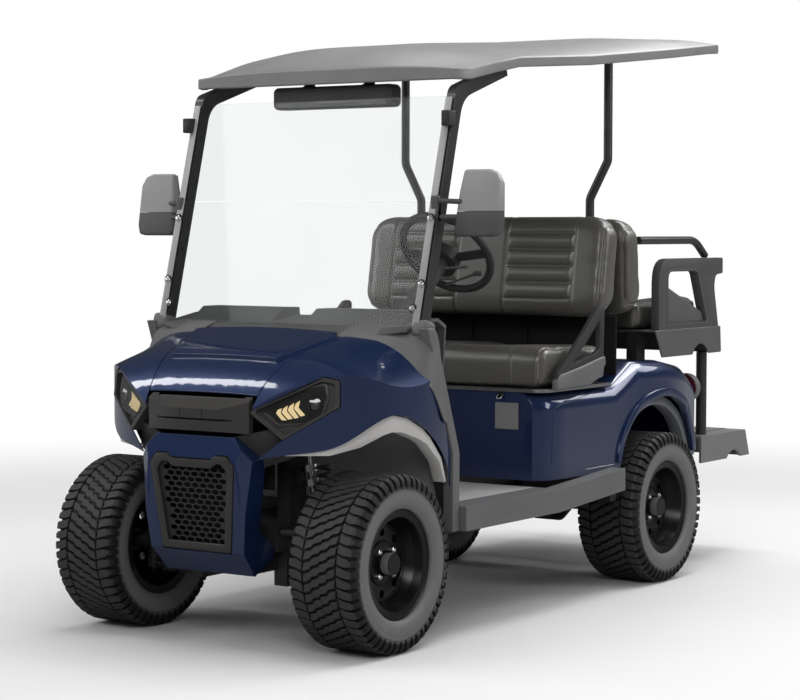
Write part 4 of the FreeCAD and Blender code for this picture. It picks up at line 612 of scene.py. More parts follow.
# Lays a flat tread piece round the wheel: its X across, its Y along the tread, its Z outwards
def wrapTread(block, along, lean):
    for vertex in block.data.vertices:
        x, s, h = vertex.co
        angle = (s + along + lean * x) / tyre["radius"]
        r = tyre["base"] - tyre["sunk"] + h
        vertex.co = (x, r * math.sin(angle), r * math.cos(angle))
    return block


# A lug on the shoulder, drawn as (x, r) and as wide along the tread as it is thick
def makeLug(side, along, half):
    lug = cutPlate(lugProfile, half * 2, tyre["soften"], 1)
    for vertex in lug.data.vertices:
        x, r, s = vertex.co
        angle = (s - half + along - tyre["lugAt"] * side * tyre["lean"]) / tyre["radius"]
        vertex.co = (x * side, r * math.sin(angle), r * math.cos(angle))
    if side < 0:
        lug.data.flip_normals()
    return lug


def makeTreadPitch():
    step = 2 * math.pi * tyre["radius"] / tyre["pitches"]
    height = tyre["radius"] - tyre["base"] + tyre["sunk"]

    def turnedPlate(outline, turn):
        return cutPlate([(x * turn, y * turn) for x, y in outline], height, tyre["soften"], 1)

    blocks = []
    for half, lugHalf in zip((0.0, 0.5), tyre["lugHalf"]):
        for turn, offset in ((1, 0.0), (-1, 0.25)):
            blocks.append(wrapTread(turnedPlate(zigzagBlock, turn), (half + offset) * step, tyre["lean"]))
        for side in (1, -1):
            along = (half + tyre["shoulderAlong"][side]) * step
            leaned = along + tyre["shoulderAt"] * side * tyre["lean"]
            blocks.append(wrapTread(turnedPlate(shoulderBlock, side), leaned, -tyre["lean"]))
            blocks.append(makeLug(side, along, lugHalf))
    pitch = joinPieces(blocks)
    inEditMode(pitch, selectAll, faceOut)
    return pitch


def makeTyre():
    profile = tyre["wall"] + [(-x, r) for x, r in reversed(tyre["wall"])] + tyre["bead"]
    casing = spinProfile(profile, tyre["steps"])
    pitch = makeTreadPitch()
    clearSelection()
    bpy.ops.object.empty_add(rotation=(2 * math.pi / tyre["pitches"], 0, 0))
    turner = bpy.context.object
    applyModifier(pitch, "ARRAY", count=tyre["pitches"], use_relative_offset=False, use_object_offset=True,
                  offset_object=turner)
    bpy.data.objects.remove(turner)
    return joinPieces([casing, pitch])


rim = {"face": 0.043, "rings": (0.084, 0.073, 0.062),
       "barrel": [(0.0985, 0.1735), (0.1045, 0.1730), (0.1060, 0.1700), (0.1040, 0.1650), (0.0980, 0.1625)],
       "ring": [(0.0085, 0.1500), (0.0055, 0.1462), (0.0020, 0.1455), (-0.0010, 0.1485)],
       "back": [(0.0560, 0.1475), (0.0560, 0.1520), (0.0985, 0.1560)],
       "collar": [(0.0430, 0.0720), (0.0475, 0.0700), (0.0490, 0.0640), (0.0490, 0.0400), (0.0600, 0.0360),
                  (0.0430, 0.0330)],
       "dish": [(0.0430, 0.1220), (0.0465, 0.1200), (0.0465, 0.1160), (0.0430, 0.1140)],
       "cap": [(0.0600, 0.0345), (0.0860, 0.0345), (0.0888, 0.0330), (0.0890, 0.0300), (0.0884, 0.0290),
               (0.0884, 0.0)]}
nut = {"count": 4, "circle": 0.054, "radius": 0.0105, "reach": 0.020, "soften": 0.0025, "sunk": 0.0002,
       "tip": [(0.0, 0.0), (0.0, 0.0075), (0.0035, 0.0055), (0.0045, 0.0)]}


# Rolled steps of the barrel, the lip's bead and the hub's raised collar
def makeRimRings():
    barrel = rim["barrel"] + [(x + out, r) for x in rim["rings"] for out, r in rim["ring"]] + rim["back"]
    return joinPieces([spinProfile(barrel, 72), spinProfile(rim["collar"], 48), spinProfile(rim["dish"], 64)])


def makeNuts():
    nuts = []
    for i in range(nut["count"]):
        angle = 2 * math.pi / nut["count"] * (i + 0.5)
        clearSelection()
        bpy.ops.mesh.primitive_cylinder_add(vertices=6, radius=nut["radius"], depth=nut["reach"],
                                            rotation=(0, math.pi / 2, 0))
        body = bpy.context.object
        settle(body)
        roundEdges(body, nut["soften"], 2, 0.9)
        tip = spinProfile(nut["tip"], 16, False)
        tip.data.transform(Matrix.Translation((nut["reach"] / 2 - nut["sunk"], 0, 0)))
        body = joinPieces([body, tip])
        place = (rim["face"] + nut["reach"] / 2, nut["circle"] * math.cos(angle), nut["circle"] * math.sin(angle))
        body.data.transform(Matrix.Translation(place))
        nuts.append(body)
    return joinPieces(nuts)


def dressWheels():
    parts = [("tyre", makeTyre(), "tyreRubber"), ("rimRings", makeRimRings(), "rimBlack"),
             ("wheelNuts", makeNuts(), "chrome"), ("hubCap", spinProfile(rim["cap"], 48, False), "hubGrey")]
    for name, middle, side, body in wheelPlaces:
        for kind, base, finish in parts:
            piece = copyPiece(base, side < 0, middle)
            if kind == "tyre" and body.startswith("rear"):
                finish = "tyreRubberRear"
            finishPiece(piece, kind + name, finish, "wheel_" + body, 40.0)
            if kind == "tyre":
                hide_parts("tyre_" + body)
    for kind, base, finish in parts:
        bpy.data.objects.remove(base)


dressWheels()
print("wheels dressed")

# Cushions: swollen by a cloth pressure run, then sewn. Facing is -1 or 1 for a back, 0 for a seat
cushions = {
    "seat_back_front": {"name": "frontBackCushion", "cap": 0.008, "corner": 0.115, "round": 60, "body": "cart",
                        "facing": -1, "seams": (-0.394, -0.104, 0.104, 0.394),
                        "channels": (1.064, 1.124, 1.185, 1.245, 1.304), "ends": 0.500, "pipe": (60, 290)},
    "seat_back_rear": {"name": "rearBackCushion", "cap": 0.008, "corner": 0.110, "round": 60, "body": "cart",
                       "facing": 1, "seams": (-0.380, -0.104, 0.104, 0.380),
                       "channels": (1.064, 1.124, 1.185, 1.245, 1.304), "ends": 0.480, "pipe": (-110, 120)},
    "seat_cushion_front": {"name": "frontSeatCushion", "cap": 0.009, "corner": 0.060, "round": 34, "body": "seat_lid",
                           "facing": 0, "seams": (-0.388, -0.104, 0.104, 0.388), "ends": 0.500,
                           "dips": (-0.245, 0.245), "pipe": (5, 205)},
    "seat_cushion_rear": {"name": "rearSeatCushion", "cap": 0.008, "corner": 0.060, "round": 26, "body": "cart",
                          "facing": 0, "seams": (-0.330, 0.330), "ends": 0.435, "dips": (-0.2, 0.2),
                          "pipe": (5, 205)},
}
sewing = {"voxel": 0.0085, "shrink": 0.006, "pressure": 4.0, "frames": 20, "grooveDepth": 0.0045,
          "grooveWidth": 0.0055, "endShare": 0.8, "fade": 0.02, "puff": 0.0065, "piping": 0.0019, "pipeLift": 0.0002,
          "dipDepth": 0.017, "dipWide": 0.115, "dipFront": 0.10, "dipFade": 0.25}


def swell(piece, cap):
    rest = [vertex.co.copy() for vertex in piece.data.vertices]
    modifier = piece.modifiers.new("cloth", "CLOTH")
    modifier.settings.use_pressure = True
    modifier.settings.uniform_pressure_force = sewing["pressure"]
    modifier.settings.effector_weights.gravity = 0
    modifier.settings.quality = 4
    modifier.point_cache.frame_start, modifier.point_cache.frame_end = 1, sewing["frames"]
    for frameNumber in range(1, sewing["frames"] + 1):
        bpy.context.scene.frame_set(frameNumber)
    result = piece.evaluated_get(bpy.context.evaluated_depsgraph_get()).data
    moved = [vertex.co.copy() for vertex in result.vertices]
    piece.modifiers.remove(modifier)
    bpy.context.scene.frame_set(1)
    for vertex, before, after in zip(piece.data.vertices, rest, moved):
        move = after - before
        vertex.co = before + move * min(1.0, cap / max(move.length, 1e-6))


def grooveAt(distance):
    return sewing["grooveDepth"] * math.exp(-(distance / sewing["grooveWidth"]) ** 2)


# How deep the sewing pulls the skin in at a point, below zero where a channel puffs out
def sewnDepth(co, normal, piece):
    onFace = piece["facing"] and normal.y * piece["facing"] > 0.35
    underneath = piece["facing"] == 0 and normal.z < -0.4
    depth = 0.0 if underneath else sum(grooveAt(co.x - x) for x in piece["seams"])
    depth += sewing["endShare"] * sum(grooveAt(co.x - x) for x in (-piece["ends"], piece["ends"]))
    inner, outer = abs(piece["seams"][-2]), abs(piece["seams"][-1])
    if onFace and inner < abs(co.x) < outer:
        lines = piece["channels"]
        edge = min(1.0, (abs(co.x) - inner) / sewing["fade"], (outer - abs(co.x)) / sewing["fade"])
        depth += edge * sum(grooveAt(co.z - z) for z in lines)
        for low, high in zip(lines, lines[1:]):
            if low < co.z < high:
                depth -= edge * sewing["puff"] * math.sin(math.pi * (co.z - low) / (high - low))
    return depth


def clamp(value):
    return max(0.0, min(1.0, value))


# Shallow hollows where people sit, fading towards the front edge and down the sides
def sinkSeat(co, normal, piece, low, high):
    if "dips" not in piece or normal.z < 0.2:
        return 0.0
    y = (co.y - low[1]) / (high[1] - low[1])
    across = max(math.exp(-((co.x - x) / sewing["dipWide"]) ** 4) for x in piece["dips"])
    fade = clamp((y - sewing["dipFront"]) / sewing["dipFade"]) * clamp((normal.z - 0.2) / 0.5)
    return sewing["dipDepth"] * across * fade


def sewCushion(obj, piece, low, high):
    mesh = obj.data
    normals = [vertex.normal.copy() for vertex in mesh.vertices]
    for vertex, normal in zip(mesh.vertices, normals):
        depth = sewnDepth(vertex.co, normal, piece)
        drop = sinkSeat(vertex.co, normal, piece, low, high)
        vertex.co -= normal * depth + Vector((0, 0, drop))
        if piece["facing"] == 0:
            vertex.co.z = max(vertex.co.z, low[2])
    mesh.update()


# Cord sewn into a seam, pale as a painted highlight along the seam: follows the skin round the section at one x
def pipeSeam(skin, x, span, low, high, steps=40):
    middle = middleOf(low, high)
    middle.x = x
    start, end = span
    points = []
    for i in range(steps + 1):
        angle = math.radians(start + (end - start) * i / steps)
        outward = Vector((0, math.cos(angle), math.sin(angle)))
        place, normal, index, reach = skin.ray_cast(middle + outward * 0.6, -outward)
        if place:
            points.append(place + normal * sewing["pipeLift"])
    return drawBar(points, sewing["piping"], 2)


# Rounds a cushion's outline as seen from the front (backs) or from above (seats)
def roundOutline(mesh, piece, low, high):
    up = 2 if piece["facing"] else 1
    middle = middleOf(low, high)
    half = [(b - a) / 2 for a, b in zip(low, high)]
    reach = piece["corner"]
    for vertex in mesh.vertices:
        x, v = vertex.co.x - middle[0], vertex.co[up] - middle[up]
        dx, dv = abs(x) - (half[0] - reach), abs(v) - (half[up] - reach)
        if dx > 0 and dv > 0:
            span = math.hypot(dx, dv)
            pull = min(1.0, reach / span)
            vertex.co.x = middle[0] + math.copysign(half[0] - reach + dx * pull, x)
            vertex.co[up] = middle[up] + math.copysign(half[up] - reach + dv * pull, v)
    mesh.update()


def moveAlongNormals(mesh, distance):
    normals = [vertex.normal.copy() for vertex in mesh.vertices]
    for vertex, normal in zip(mesh.vertices, normals):
        vertex.co += normal * distance
    mesh.update()


def skinOf(obj):
    bpy.context.view_layer.update()
    return BVHTree.FromObject(obj, bpy.context.evaluated_depsgraph_get())


def makeCushion(node, piece):
    low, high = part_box(node)
    obj = addObject(piece["name"], nodes[node].data.copy())
    inEditMode(obj, selectAll, weld, faceOut)
    applyModifier(obj, "REMESH", mode="VOXEL", voxel_size=sewing["voxel"], adaptivity=0.0)
    moveAlongNormals(obj.data, -sewing["shrink"])
    applyModifier(obj, "SMOOTH", factor=0.5, iterations=piece["round"])
    roundOutline(obj.data, piece, low, high)
    swell(obj, piece["cap"])
    applyModifier(obj, "SMOOTH", factor=0.5, iterations=10)
    applyModifier(obj, "SUBSURF", levels=1, render_levels=1)
    sewCushion(obj, piece, low, high)
    skin = skinOf(obj)
    piping = joinPieces([pipeSeam(skin, x, piece["pipe"], low, high) for x in (-piece["ends"], piece["ends"])])
    finishPiece(obj, piece["name"], "seatLeather", piece["body"], 0)
    usePiece(obj)
    bpy.ops.object.shade_smooth()
    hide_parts(node)
    finishPiece(piping, piece["name"] + "Piping", "seatPiping", piece["body"], 60.0)


for node, piece in cushions.items():
    makeCushion(node, piece)
    print(piece["name"], "sewn")


# Body shapes: merged copies of the CAD shapes with cut slots and rounded edges
def carve(node, finish, soften, cutters=()):
    first, *others = node.split("_")
    name = first + "".join(word.capitalize() for word in others) + "Shape"
    obj = addObject(name, nodes[node].data.copy())
    inEditMode(obj, selectAll, weld, lambda: bpy.ops.mesh.dissolve_limited(angle_limit=0.004))
    for cutter in cutters:
        cutAway(obj, cutter)
    roundEdges(obj, soften, 2, math.radians(28.0))
    finishPiece(obj, name, finish, smooth=32.0)
    applyModifier(obj, "WEIGHTED_NORMAL", keep_sharp=True, weight=80)
    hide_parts(node)


def tiltBlock(block, low, high, degrees):
    middle = middleOf(low, high)
    turn = Matrix.Rotation(math.radians(degrees), 4, "X")
    block.data.transform(Matrix.Translation(middle) @ turn @ Matrix.Translation(-middle))
    return block


def boxCutter(low, high):
    return softBlock(low, high, 0.0004, 1)


barCuts = {"upperSlot": ((-0.172, -1.462, 0.7905), (0.172, -1.436, 0.803)), "tilt": -20.0,
           "lowerSlot": ((-0.150, -1.503, 0.7225), (0.150, -1.4775, 0.7285)),
           "seams": (-0.0435, 0.0435), "seamHalf": 0.0012, "seamLow": (-1.503, 0.7285), "seamHigh": (-1.4925, 0.7660)}


def makeLampBar():
    upper = tiltBlock(boxCutter(*barCuts["upperSlot"]), *barCuts["upperSlot"], barCuts["tilt"])
    cutters = [upper, boxCutter(*barCuts["lowerSlot"])]
    for x in barCuts["seams"]:
        cutters.append(boxCutter((x - barCuts["seamHalf"], *barCuts["seamLow"]),
                                 (x + barCuts["seamHalf"], *barCuts["seamHigh"])))
    carve("lamp_bar", "lampPlastic", 0.0030, cutters)


# Head lamps, drawn flat in the lamp's own plane and mirrored for the far side
lampPlane = {"tip": (0.19999, -1.458, 0.752), "along": (0.88935, 0.45723, 0.0), "up": (-0.04481, 0.08716, 0.99519)}
lampWindow = [(0.0056, 0.0006), (0.0907, 0.0407), (0.1736, 0.0745), (0.2338, 0.0875), (0.2390, 0.0813),
              (0.2447, 0.0485), (0.2398, 0.0279), (0.2249, -0.0155), (0.1752, -0.0325), (0.0920, -0.0417),
              (0.0454, -0.0010)]
chevrons = [[(0.0841, -0.0016), (0.0891, 0.0087), (0.1016, 0.0140), (0.0987, -0.0025), (0.1178, -0.0229),
             (0.1021, -0.0231)],
            [(0.1018, 0.0006), (0.1068, 0.0131), (0.1202, 0.0225), (0.1173, 0.0049), (0.1365, -0.0175),
             (0.1219, -0.0208)],
            [(0.1204, 0.0070), (0.1254, 0.0205), (0.1399, 0.0309), (0.1371, 0.0113), (0.1552, -0.0142),
             (0.1417, -0.0175)],
            [(0.1391, 0.0134), (0.1451, 0.0289), (0.1585, 0.0383), (0.1537, 0.0156), (0.1748, -0.0068),
             (0.1603, -0.0111)]]
lampTray = [(0.0560, 0.0030), (0.0960, 0.0260), (0.1450, 0.0455), (0.1800, 0.0560), (0.1860, 0.0100),
            (0.1800, -0.0165), (0.1400, -0.0270), (0.0960, -0.0320), (0.0800, -0.0200)]
projector = {"middle": (0.2055, 0.0275), "radius": 0.0185, "drop": 0.0055,
             "cupDepth": -0.0052, "ballDepth": -0.0050,
             "cup": [(0.0030, 1.18), (0.0042, 1.10), (0.0030, 1.0), (0.0004, 0.94), (0.0004, 0.0)],
             "ball": [(0.0006, 0.80), (0.0030, 0.74), (0.0050, 0.52), (0.0060, 0.26), (0.0062, 0.0)],
             "wing": [(-0.96, 0.0060), (-0.80, 0.0125), (-0.25, 0.0115), (0.10, 0.0158), (0.60, 0.0165),
                      (0.98, 0.0085), (0.55, 0.0062), (0.0, 0.0045)]}
# Depth, thickness and edge rounding of each flat layer, and how far each outline shrinks or grows
lampLayers = {"rim": (-0.0090, 0.0070, 0.0022), "tray": (-0.0052, 0.0030, 0.0008),
              "chevron": (-0.0052, 0.0024, 0.0006), "wing": (0.0008, 0.0020, 0.0006),
              "cover": (0.0048, 0.0016, 0.0005)}
lampShares = {"middle": (0.150, 0.022), "rimOuter": 1.06, "rimInner": 0.93, "cover": 0.945, "tray": 1.14}


def shrinkOutline(points, share, middle):
    return [(middle[0] + (x - middle[0]) * share, middle[1] + (y - middle[1]) * share) for x, y in points]


def placeInLamp(obj, depth):
    place = Vector(lampPlane["tip"])
    z = Vector(lampPlane["along"]).cross(Vector(lampPlane["up"])).normalized()
    return setAlong(obj, place + z * depth, lampPlane["along"], lampPlane["up"])


def ringPlate(outer, inner, thick, soften):
    plate = cutPlate(outer, thick)
    hole = cutPlate(inner, thick * 3)
    hole.data.transform(Matrix.Translation((0, 0, -thick)))
    cutAway(plate, hole)
    roundEdges(plate, soften)
    return plate


# A turned piece of the projector: its profile is (height, share of the radius)
def turnProjector(profile, steps, x, y):
    turned = spinProfile([(rise, share * projector["radius"]) for rise, share in profile], steps, False)
    turned.data.transform(Matrix.Rotation(-math.pi / 2, 4, "Y"))
    turned.data.transform(Matrix.Translation((x, y, 0)))
    return turned


def lampOutline(points, key):
    return shrinkOutline(points, lampShares[key], lampShares["middle"])


def makeHeadLamps():
    (x, y), r = projector["middle"], projector["radius"]
    rings = [("lampRim", "rim", lampOutline(lampWindow, "rimOuter"), lampOutline(lampWindow, "rimInner")),
             ("lampTray", "tray", lampOutline(lampTray, "tray"), lampTray)]
    for name, layer, outer, inner in rings:
        depth, thick, soften = lampLayers[layer]
        finishPair(placeInLamp(ringPlate(outer, inner, thick, soften), depth), name, "lampPlastic", 40.0)
    plates = [("lampChevron" + str(i + 1), "chevron", outline, "amberGlow") for i, outline in enumerate(chevrons)]
    # The white crescent above the projector glows as a painted highlight, not as a lamp
    wing = [(x + share * r, y + rise) for share, rise in projector["wing"]]
    plates += [("lampWing", "wing", wing, "whiteGlow"),
               ("lampCover", "cover", lampOutline(lampWindow, "cover"), "clearLens")]
    for name, layer, outline, finish in plates:
        depth, thick, soften = lampLayers[layer]
        finishPair(placeInLamp(cutPlate(outline, thick, soften, 1), depth), name, finish, 40.0)
    for key, steps, drop, finish in (("cup", 40, 0.0, "lampPlastic"), ("ball", 32, projector["drop"], "lampBall")):
        turned = turnProjector(projector[key], steps, x, y - drop)
        finishPair(placeInLamp(turned, projector[key + "Depth"]), "lampProjector" + key.capitalize(), finish, 40.0)


# Grille: thick notched surround with a near-black sheet behind the comb as painted shade behind the grille
grilleTrim = {"outer": [(-0.137, 0.3160), (-0.1655, 0.5800), (-0.1400, 0.6120), (-0.0950, 0.6150), (-0.0730, 0.5990),
                        (0.0730, 0.5990), (0.0950, 0.6150), (0.1400, 0.6120), (0.1655, 0.5800), (0.137, 0.3160)],
              "inner": [(-0.1130, 0.3360), (-0.1390, 0.5640), (-0.1200, 0.5880), (-0.0980, 0.5900), (-0.0760, 0.5740),
                        (0.0760, 0.5740), (0.0980, 0.5900), (0.1200, 0.5880), (0.1390, 0.5640), (0.1130, 0.3360)],
              "low": (0, -1.4690, 0.3110), "high": (0, -1.4975, 0.6110), "thick": 0.0100, "soften": 0.0035,
              "proud": 0.0005, "screen": 0.055, "screenThick": 0.004}


def makeGrilleTrim():
    base, top = Vector(grilleTrim["low"]), Vector(grilleTrim["high"])
    lean = (top - base).normalized()
    outward = Vector((1, 0, 0)).cross(lean)

    def flat(points, grow=1.0):
        return [(x * grow, z - base.z) for x, z in points]

    thick = grilleTrim["thick"]
    ring = ringPlate(flat(grilleTrim["outer"]), flat(grilleTrim["inner"]), thick, grilleTrim["soften"])
    screen = cutPlate(flat(grilleTrim["outer"], 0.98), grilleTrim["screenThick"], 0.001, 1)
    for piece, sunk, name, finish in ((ring, thick - grilleTrim["proud"], "grilleSurround", "lampPlastic"),
                                      (screen, grilleTrim["screen"], "grilleScreen", "shadowBlack")):
        setAlong(piece, base - outward * sunk, (1, 0, 0), lean)
        finishPiece(piece, name, finish)


# Panels that close the gap between the bar, the bumper and the fenders: a near-black backing as painted shade in the
# recess, and grained plastic sides
recess = {"backing": [(-0.21, 0.50), (0.21, 0.50), (0.21, 0.585), (0.33, 0.605), (0.33, 0.62), (0.36, 0.67),
                      (0.36, 0.79), (0.25, 0.835), (-0.25, 0.835), (-0.36, 0.79), (-0.36, 0.67), (-0.33, 0.62),
                      (-0.33, 0.605), (-0.21, 0.585)],
          "backPlane": -1.335, "thick": 0.005,
          "side": [(0.140, -1.468, 0.672), (0.213, -1.402, 0.575), (0.312, -1.366, 0.612), (0.262, -1.418, 0.700)]}


# A four-cornered sheet with a thickness
def makePanel(corners, thick, soften=0.001):
    clearSelection()
    bpy.ops.mesh.primitive_plane_add(size=1)
    panel = bpy.context.object
    order = sorted(range(4), key=lambda i: math.atan2(panel.data.vertices[i].co.y, panel.data.vertices[i].co.x))
    for i, corner in zip(order, corners):
        panel.data.vertices[i].co = corner
    applyModifier(panel, "SOLIDIFY", thickness=thick, offset=-1.0)
    roundEdges(panel, soften)
    inEditMode(panel, selectAll, faceOut)
    return panel


def makeRecess():
    backing = faceAt(cutPlate(recess["backing"], recess["thick"], 0.001, 1), recess["backPlane"])
    finishPiece(backing, "noseBacking", "shadowBlack")
    finishPair(makePanel(recess["side"], recess["thick"]), "recessPanel", "grainedPlastic")


# Liners inside the wheel arches, a band that follows each arch edge; the front band's pale grey is a painted
# highlight along the flare's lip
flare = {"front": [(-1.4094, 0.6226), (-1.3475, 0.6395), (-1.2956, 0.6761), (-1.2284, 0.7261), (-1.1799, 0.7410),
                   (-1.1209, 0.7297), (-1.0415, 0.6902), (-0.9983, 0.6606), (-0.9200, 0.5880), (-0.8850, 0.5100)],
         "taper": [0.004, 0.022, 0.040, 0.052, 0.054, 0.048, 0.036, 0.028, 0.018, 0.010], "thick": 0.045,
         "edge": [0.321, 0.421, 0.483, 0.535, 0.556, 0.571, 0.579, 0.579, 0.572, 0.567], "inset": 0.012,
         "rearMiddle": (0.606, 0.445), "rearRadius": (0.290, 0.250), "rearBand": 0.034, "rearLow": 0.475,
         "rearHigh": 0.526}


# An arch from front to back as (y, z), without its two feet
def archPoints(middle, radii, steps):
    angles = [math.pi * i / steps for i in range(1, steps)]
    return [(middle[0] - radii[0] * math.cos(a), middle[1] + radii[1] * math.sin(a)) for a in angles]


# A band of the given widths inside a line of (y, z) points, from low to high along X
def bandAlong(points, widths, low, high):
    inner = []
    for i, (y, z) in enumerate(points):
        before, after = points[max(0, i - 1)], points[min(len(points) - 1, i + 1)]
        away = Vector((after[1] - before[1], before[0] - after[0])).normalized()
        inner.append((y + away.x * widths[i], z + away.y * widths[i]))
    return standAt(cutPlate(points + inner[::-1], high - low, 0.002, 2), low)


def makeFlares():
    points, edges = flare["front"], flare["edge"]
    front = bandAlong(points, flare["taper"], 0.0, flare["thick"])
    for vertex in front.data.vertices:
        y = vertex.co.y
        spot = max(i for i in range(len(points) - 1) if y >= points[i][0] or i == 0)
        share = (y - points[spot][0]) / (points[spot + 1][0] - points[spot][0])
        edge = edges[spot] + (edges[spot + 1] - edges[spot]) * share
        vertex.co.x += edge - flare["inset"] - flare["thick"]
    arch = archPoints(flare["rearMiddle"], flare["rearRadius"], 26)
    rear = bandAlong(arch, [flare["rearBand"]] * len(arch), flare["rearLow"], flare["rearHigh"])
    finishPair(front, "frontLiner", "flareGrey")
    finishPair(rear, "rearLiner", "linerGrey")


# Mirrors: domed shells on short arms, glass towards the driver; the upper shell is pale grey as painted light on the
# top, the part below the split dark plastic
mirror = {"outline": [(0.598, 1.5070), (0.690, 1.5070), (0.7180, 1.4970), (0.7345, 1.4660), (0.7345, 1.3300),
                      (0.7250, 1.2980), (0.7000, 1.2930), (0.5890, 1.2930), (0.5760, 1.3060), (0.5810, 1.3560),
                      (0.5870, 1.4390)],
          "front": -0.887, "back": -0.824, "soften": 0.017, "lean": 0.16, "leanFrom": 1.293, "split": 1.3745,
          "seam": 0.0012, "middle": (0.656, 1.400), "glass": 0.90, "lip": 0.955, "glassProud": 0.0025,
          "lipProud": 0.004, "hinge": ((0.508, -0.912, 1.336), (0.536, -0.886, 1.424)),
          "arms": [[(0.512, -0.905, 1.4080), (0.560, -0.880, 1.4060), (0.600, -0.862, 1.4040)],
                   [(0.505, -0.905, 1.3560), (0.545, -0.885, 1.3560), (0.600, -0.862, 1.3560)]], "armRadius": 0.0085}


def makeMirrors():
    back, split = mirror["back"], mirror["split"]
    depth = back - mirror["front"]
    shell = faceAt(cutPlate(mirror["outline"], depth, mirror["soften"], 5), back)
    for vertex in shell.data.vertices:
        if vertex.co.y < back - depth / 2:
            vertex.co.y += (vertex.co.z - mirror["leanFrom"]) * mirror["lean"]
    base = copyPiece(shell)
    for piece, low, high in ((shell, 1.2, split), (base, split - mirror["seam"], 1.6)):
        cutAway(piece, boxCutter((0.5, -1.0, low), (0.8, -0.7, high)))
    inner, outer = [shrinkOutline(mirror["outline"], mirror[share], mirror["middle"]) for share in ("glass", "lip")]
    glass = faceAt(cutPlate(inner, 0.003, 0.0008, 1), back + mirror["glassProud"])
    lip = faceAt(ringPlate(outer, inner, 0.006, 0.0015), back + mirror["lipProud"])
    arms = [drawBar(arm, mirror["armRadius"], 5) for arm in mirror["arms"]]
    base = joinPieces([base, lip, softBlock(*mirror["hinge"], 0.006)] + arms)
    # The upper shell is pale grey as painted light on the mirror's top; the base below the split stays dark plastic
    finishPair(shell, "mirrorShell", "mirrorPlastic")
    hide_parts("mirrors")
    finishPair(base, "mirrorBase", "mirrorDark")
    finishPair(glass, "mirrorGlass", "mirrorSilver")


# Windscreen fixings: moulded clips on the posts and chrome knobs through the sheet
fixings = {"clipAt": (0.531, -0.836, 1.672), "turn": -105.2,
           "clip": ((-0.0150, -0.0260, -0.0250), (0.0150, 0.0182, 0.0250), 0.004),
           "tab": ((-0.0108, -0.0300, -0.0200), (0.0108, -0.0220, 0.0050), 0.003),
           "knobs": [(0.516, -0.9200, 1.352), (0.518, -0.9760, 1.143), (0.498, -0.9960, 1.065)],
           "knob": [(0.0, 0.0105), (0.0035, 0.0105), (0.0050, 0.0085), (0.0075, 0.0080), (0.0100, 0.0062),
                    (0.0112, 0.0)],
           "washer": [(0.0, 0.0155), (0.0030, 0.0155), (0.0034, 0.0145), (0.0034, 0.0)], "washerBack": 0.0025}


def turnFixing(profile, degrees, place):
    piece = spinProfile(profile, 24, False)
    piece.data.transform(Matrix.Rotation(math.radians(degrees), 4, "Z"))
    piece.data.transform(Matrix.Translation(place))
    return piece


def makeFixings():
    clips, knobs = [], []
    for side in (1, -1):
        x, y, z = fixings["clipAt"]
        middle = Vector((x * side, y, z))
        for low, high, soften in (fixings["clip"], fixings["tab"]):
            clips.append(softBlock(middle + Vector(low), middle + Vector(high), soften))
        for x, y, z in fixings["knobs"]:
            knobs.append(turnFixing(fixings["knob"], fixings["turn"], (x * side, y, z)))
            clips.append(turnFixing(fixings["washer"], -90.0, (x * side, y + fixings["washerBack"], z)))
    finishPiece(joinPieces(clips), "screenClips", "grainedPlastic")
    finishPiece(joinPieces(knobs), "screenKnobs", "chrome")


# Coil springs round the front shocks
coil = {"middle": (0.296, -1.196), "low": 0.330, "high": 0.575, "radius": 0.0205, "wire": 0.0045, "turns": 10,
        "steps": 14}


def makeSprings():
    springs = []
    for side in (1, -1):
        x, y = coil["middle"]
        count = coil["turns"] * coil["steps"]
        points = []
        for i in range(count + 1):
            angle = 2 * math.pi * i / coil["steps"]
            z = coil["low"] + (coil["high"] - coil["low"]) * i / count
            points.append((x * side + coil["radius"] * math.cos(angle), y + coil["radius"] * math.sin(angle), z))
        springs.append(drawBar(points, coil["wire"], 2))
    finishPiece(joinPieces(springs), "coilSprings", "frameBlack", smooth=60.0)


# Where a line along X meets a finished piece
def sideSurface(name):
    skin = skinOf(bpy.data.objects[name])

    def reach(y, z):
        place, normal, index, distance = skin.ray_cast(Vector((2.0, y, z)), Vector((-1.0, 0, 0)))
        return place.x if place else 0.0
    return reach


# Raised lip round the rear arch and the pressed line on the rear side
bodySide = {"arcMiddle": (0.606, 0.445), "arc": (0.290, 0.250), "lipWidth": 0.030, "lipProud": 0.009,
            "lipDepth": 0.030, "readAt": 1.10, "least": 0.536,
            "line": [(-0.166, 0.500), (-0.166, 0.545), (-0.164, 0.670), (-0.156, 0.693), (-0.130, 0.703),
                     (-0.080, 0.709), (0.060, 0.724), (0.148, 0.734), (0.215, 0.742)],
            "bead": 0.0016, "beadSunk": 0.0004}


def makeBodySide():
    reach = sideSurface("rearBodyShape")
    (y, z), (across, tall) = bodySide["arcMiddle"], bodySide["arc"]
    arch = archPoints(bodySide["arcMiddle"], bodySide["arc"], 40)
    lip = bandAlong(arch, [-bodySide["lipWidth"]] * len(arch), 0.0, bodySide["lipDepth"])
    for vertex in lip.data.vertices:
        dy, dz = (vertex.co.y - y) / across, (vertex.co.z - z) / tall
        grow = bodySide["readAt"] / max(math.hypot(dy, dz), 0.2)
        surface = max(reach(y + dy * across * grow, z + dz * tall * grow), bodySide["least"])
        vertex.co.x += surface + bodySide["lipProud"] - bodySide["lipDepth"]
    line = drawBar([(reach(*spot) - bodySide["beadSunk"], *spot) for spot in bodySide["line"]], bodySide["bead"], 3)
    finishPair(lip, "archLip", "bodyPaint", 50.0)
    finishPair(line, "sideLine", "bodyPaint", 50.0)


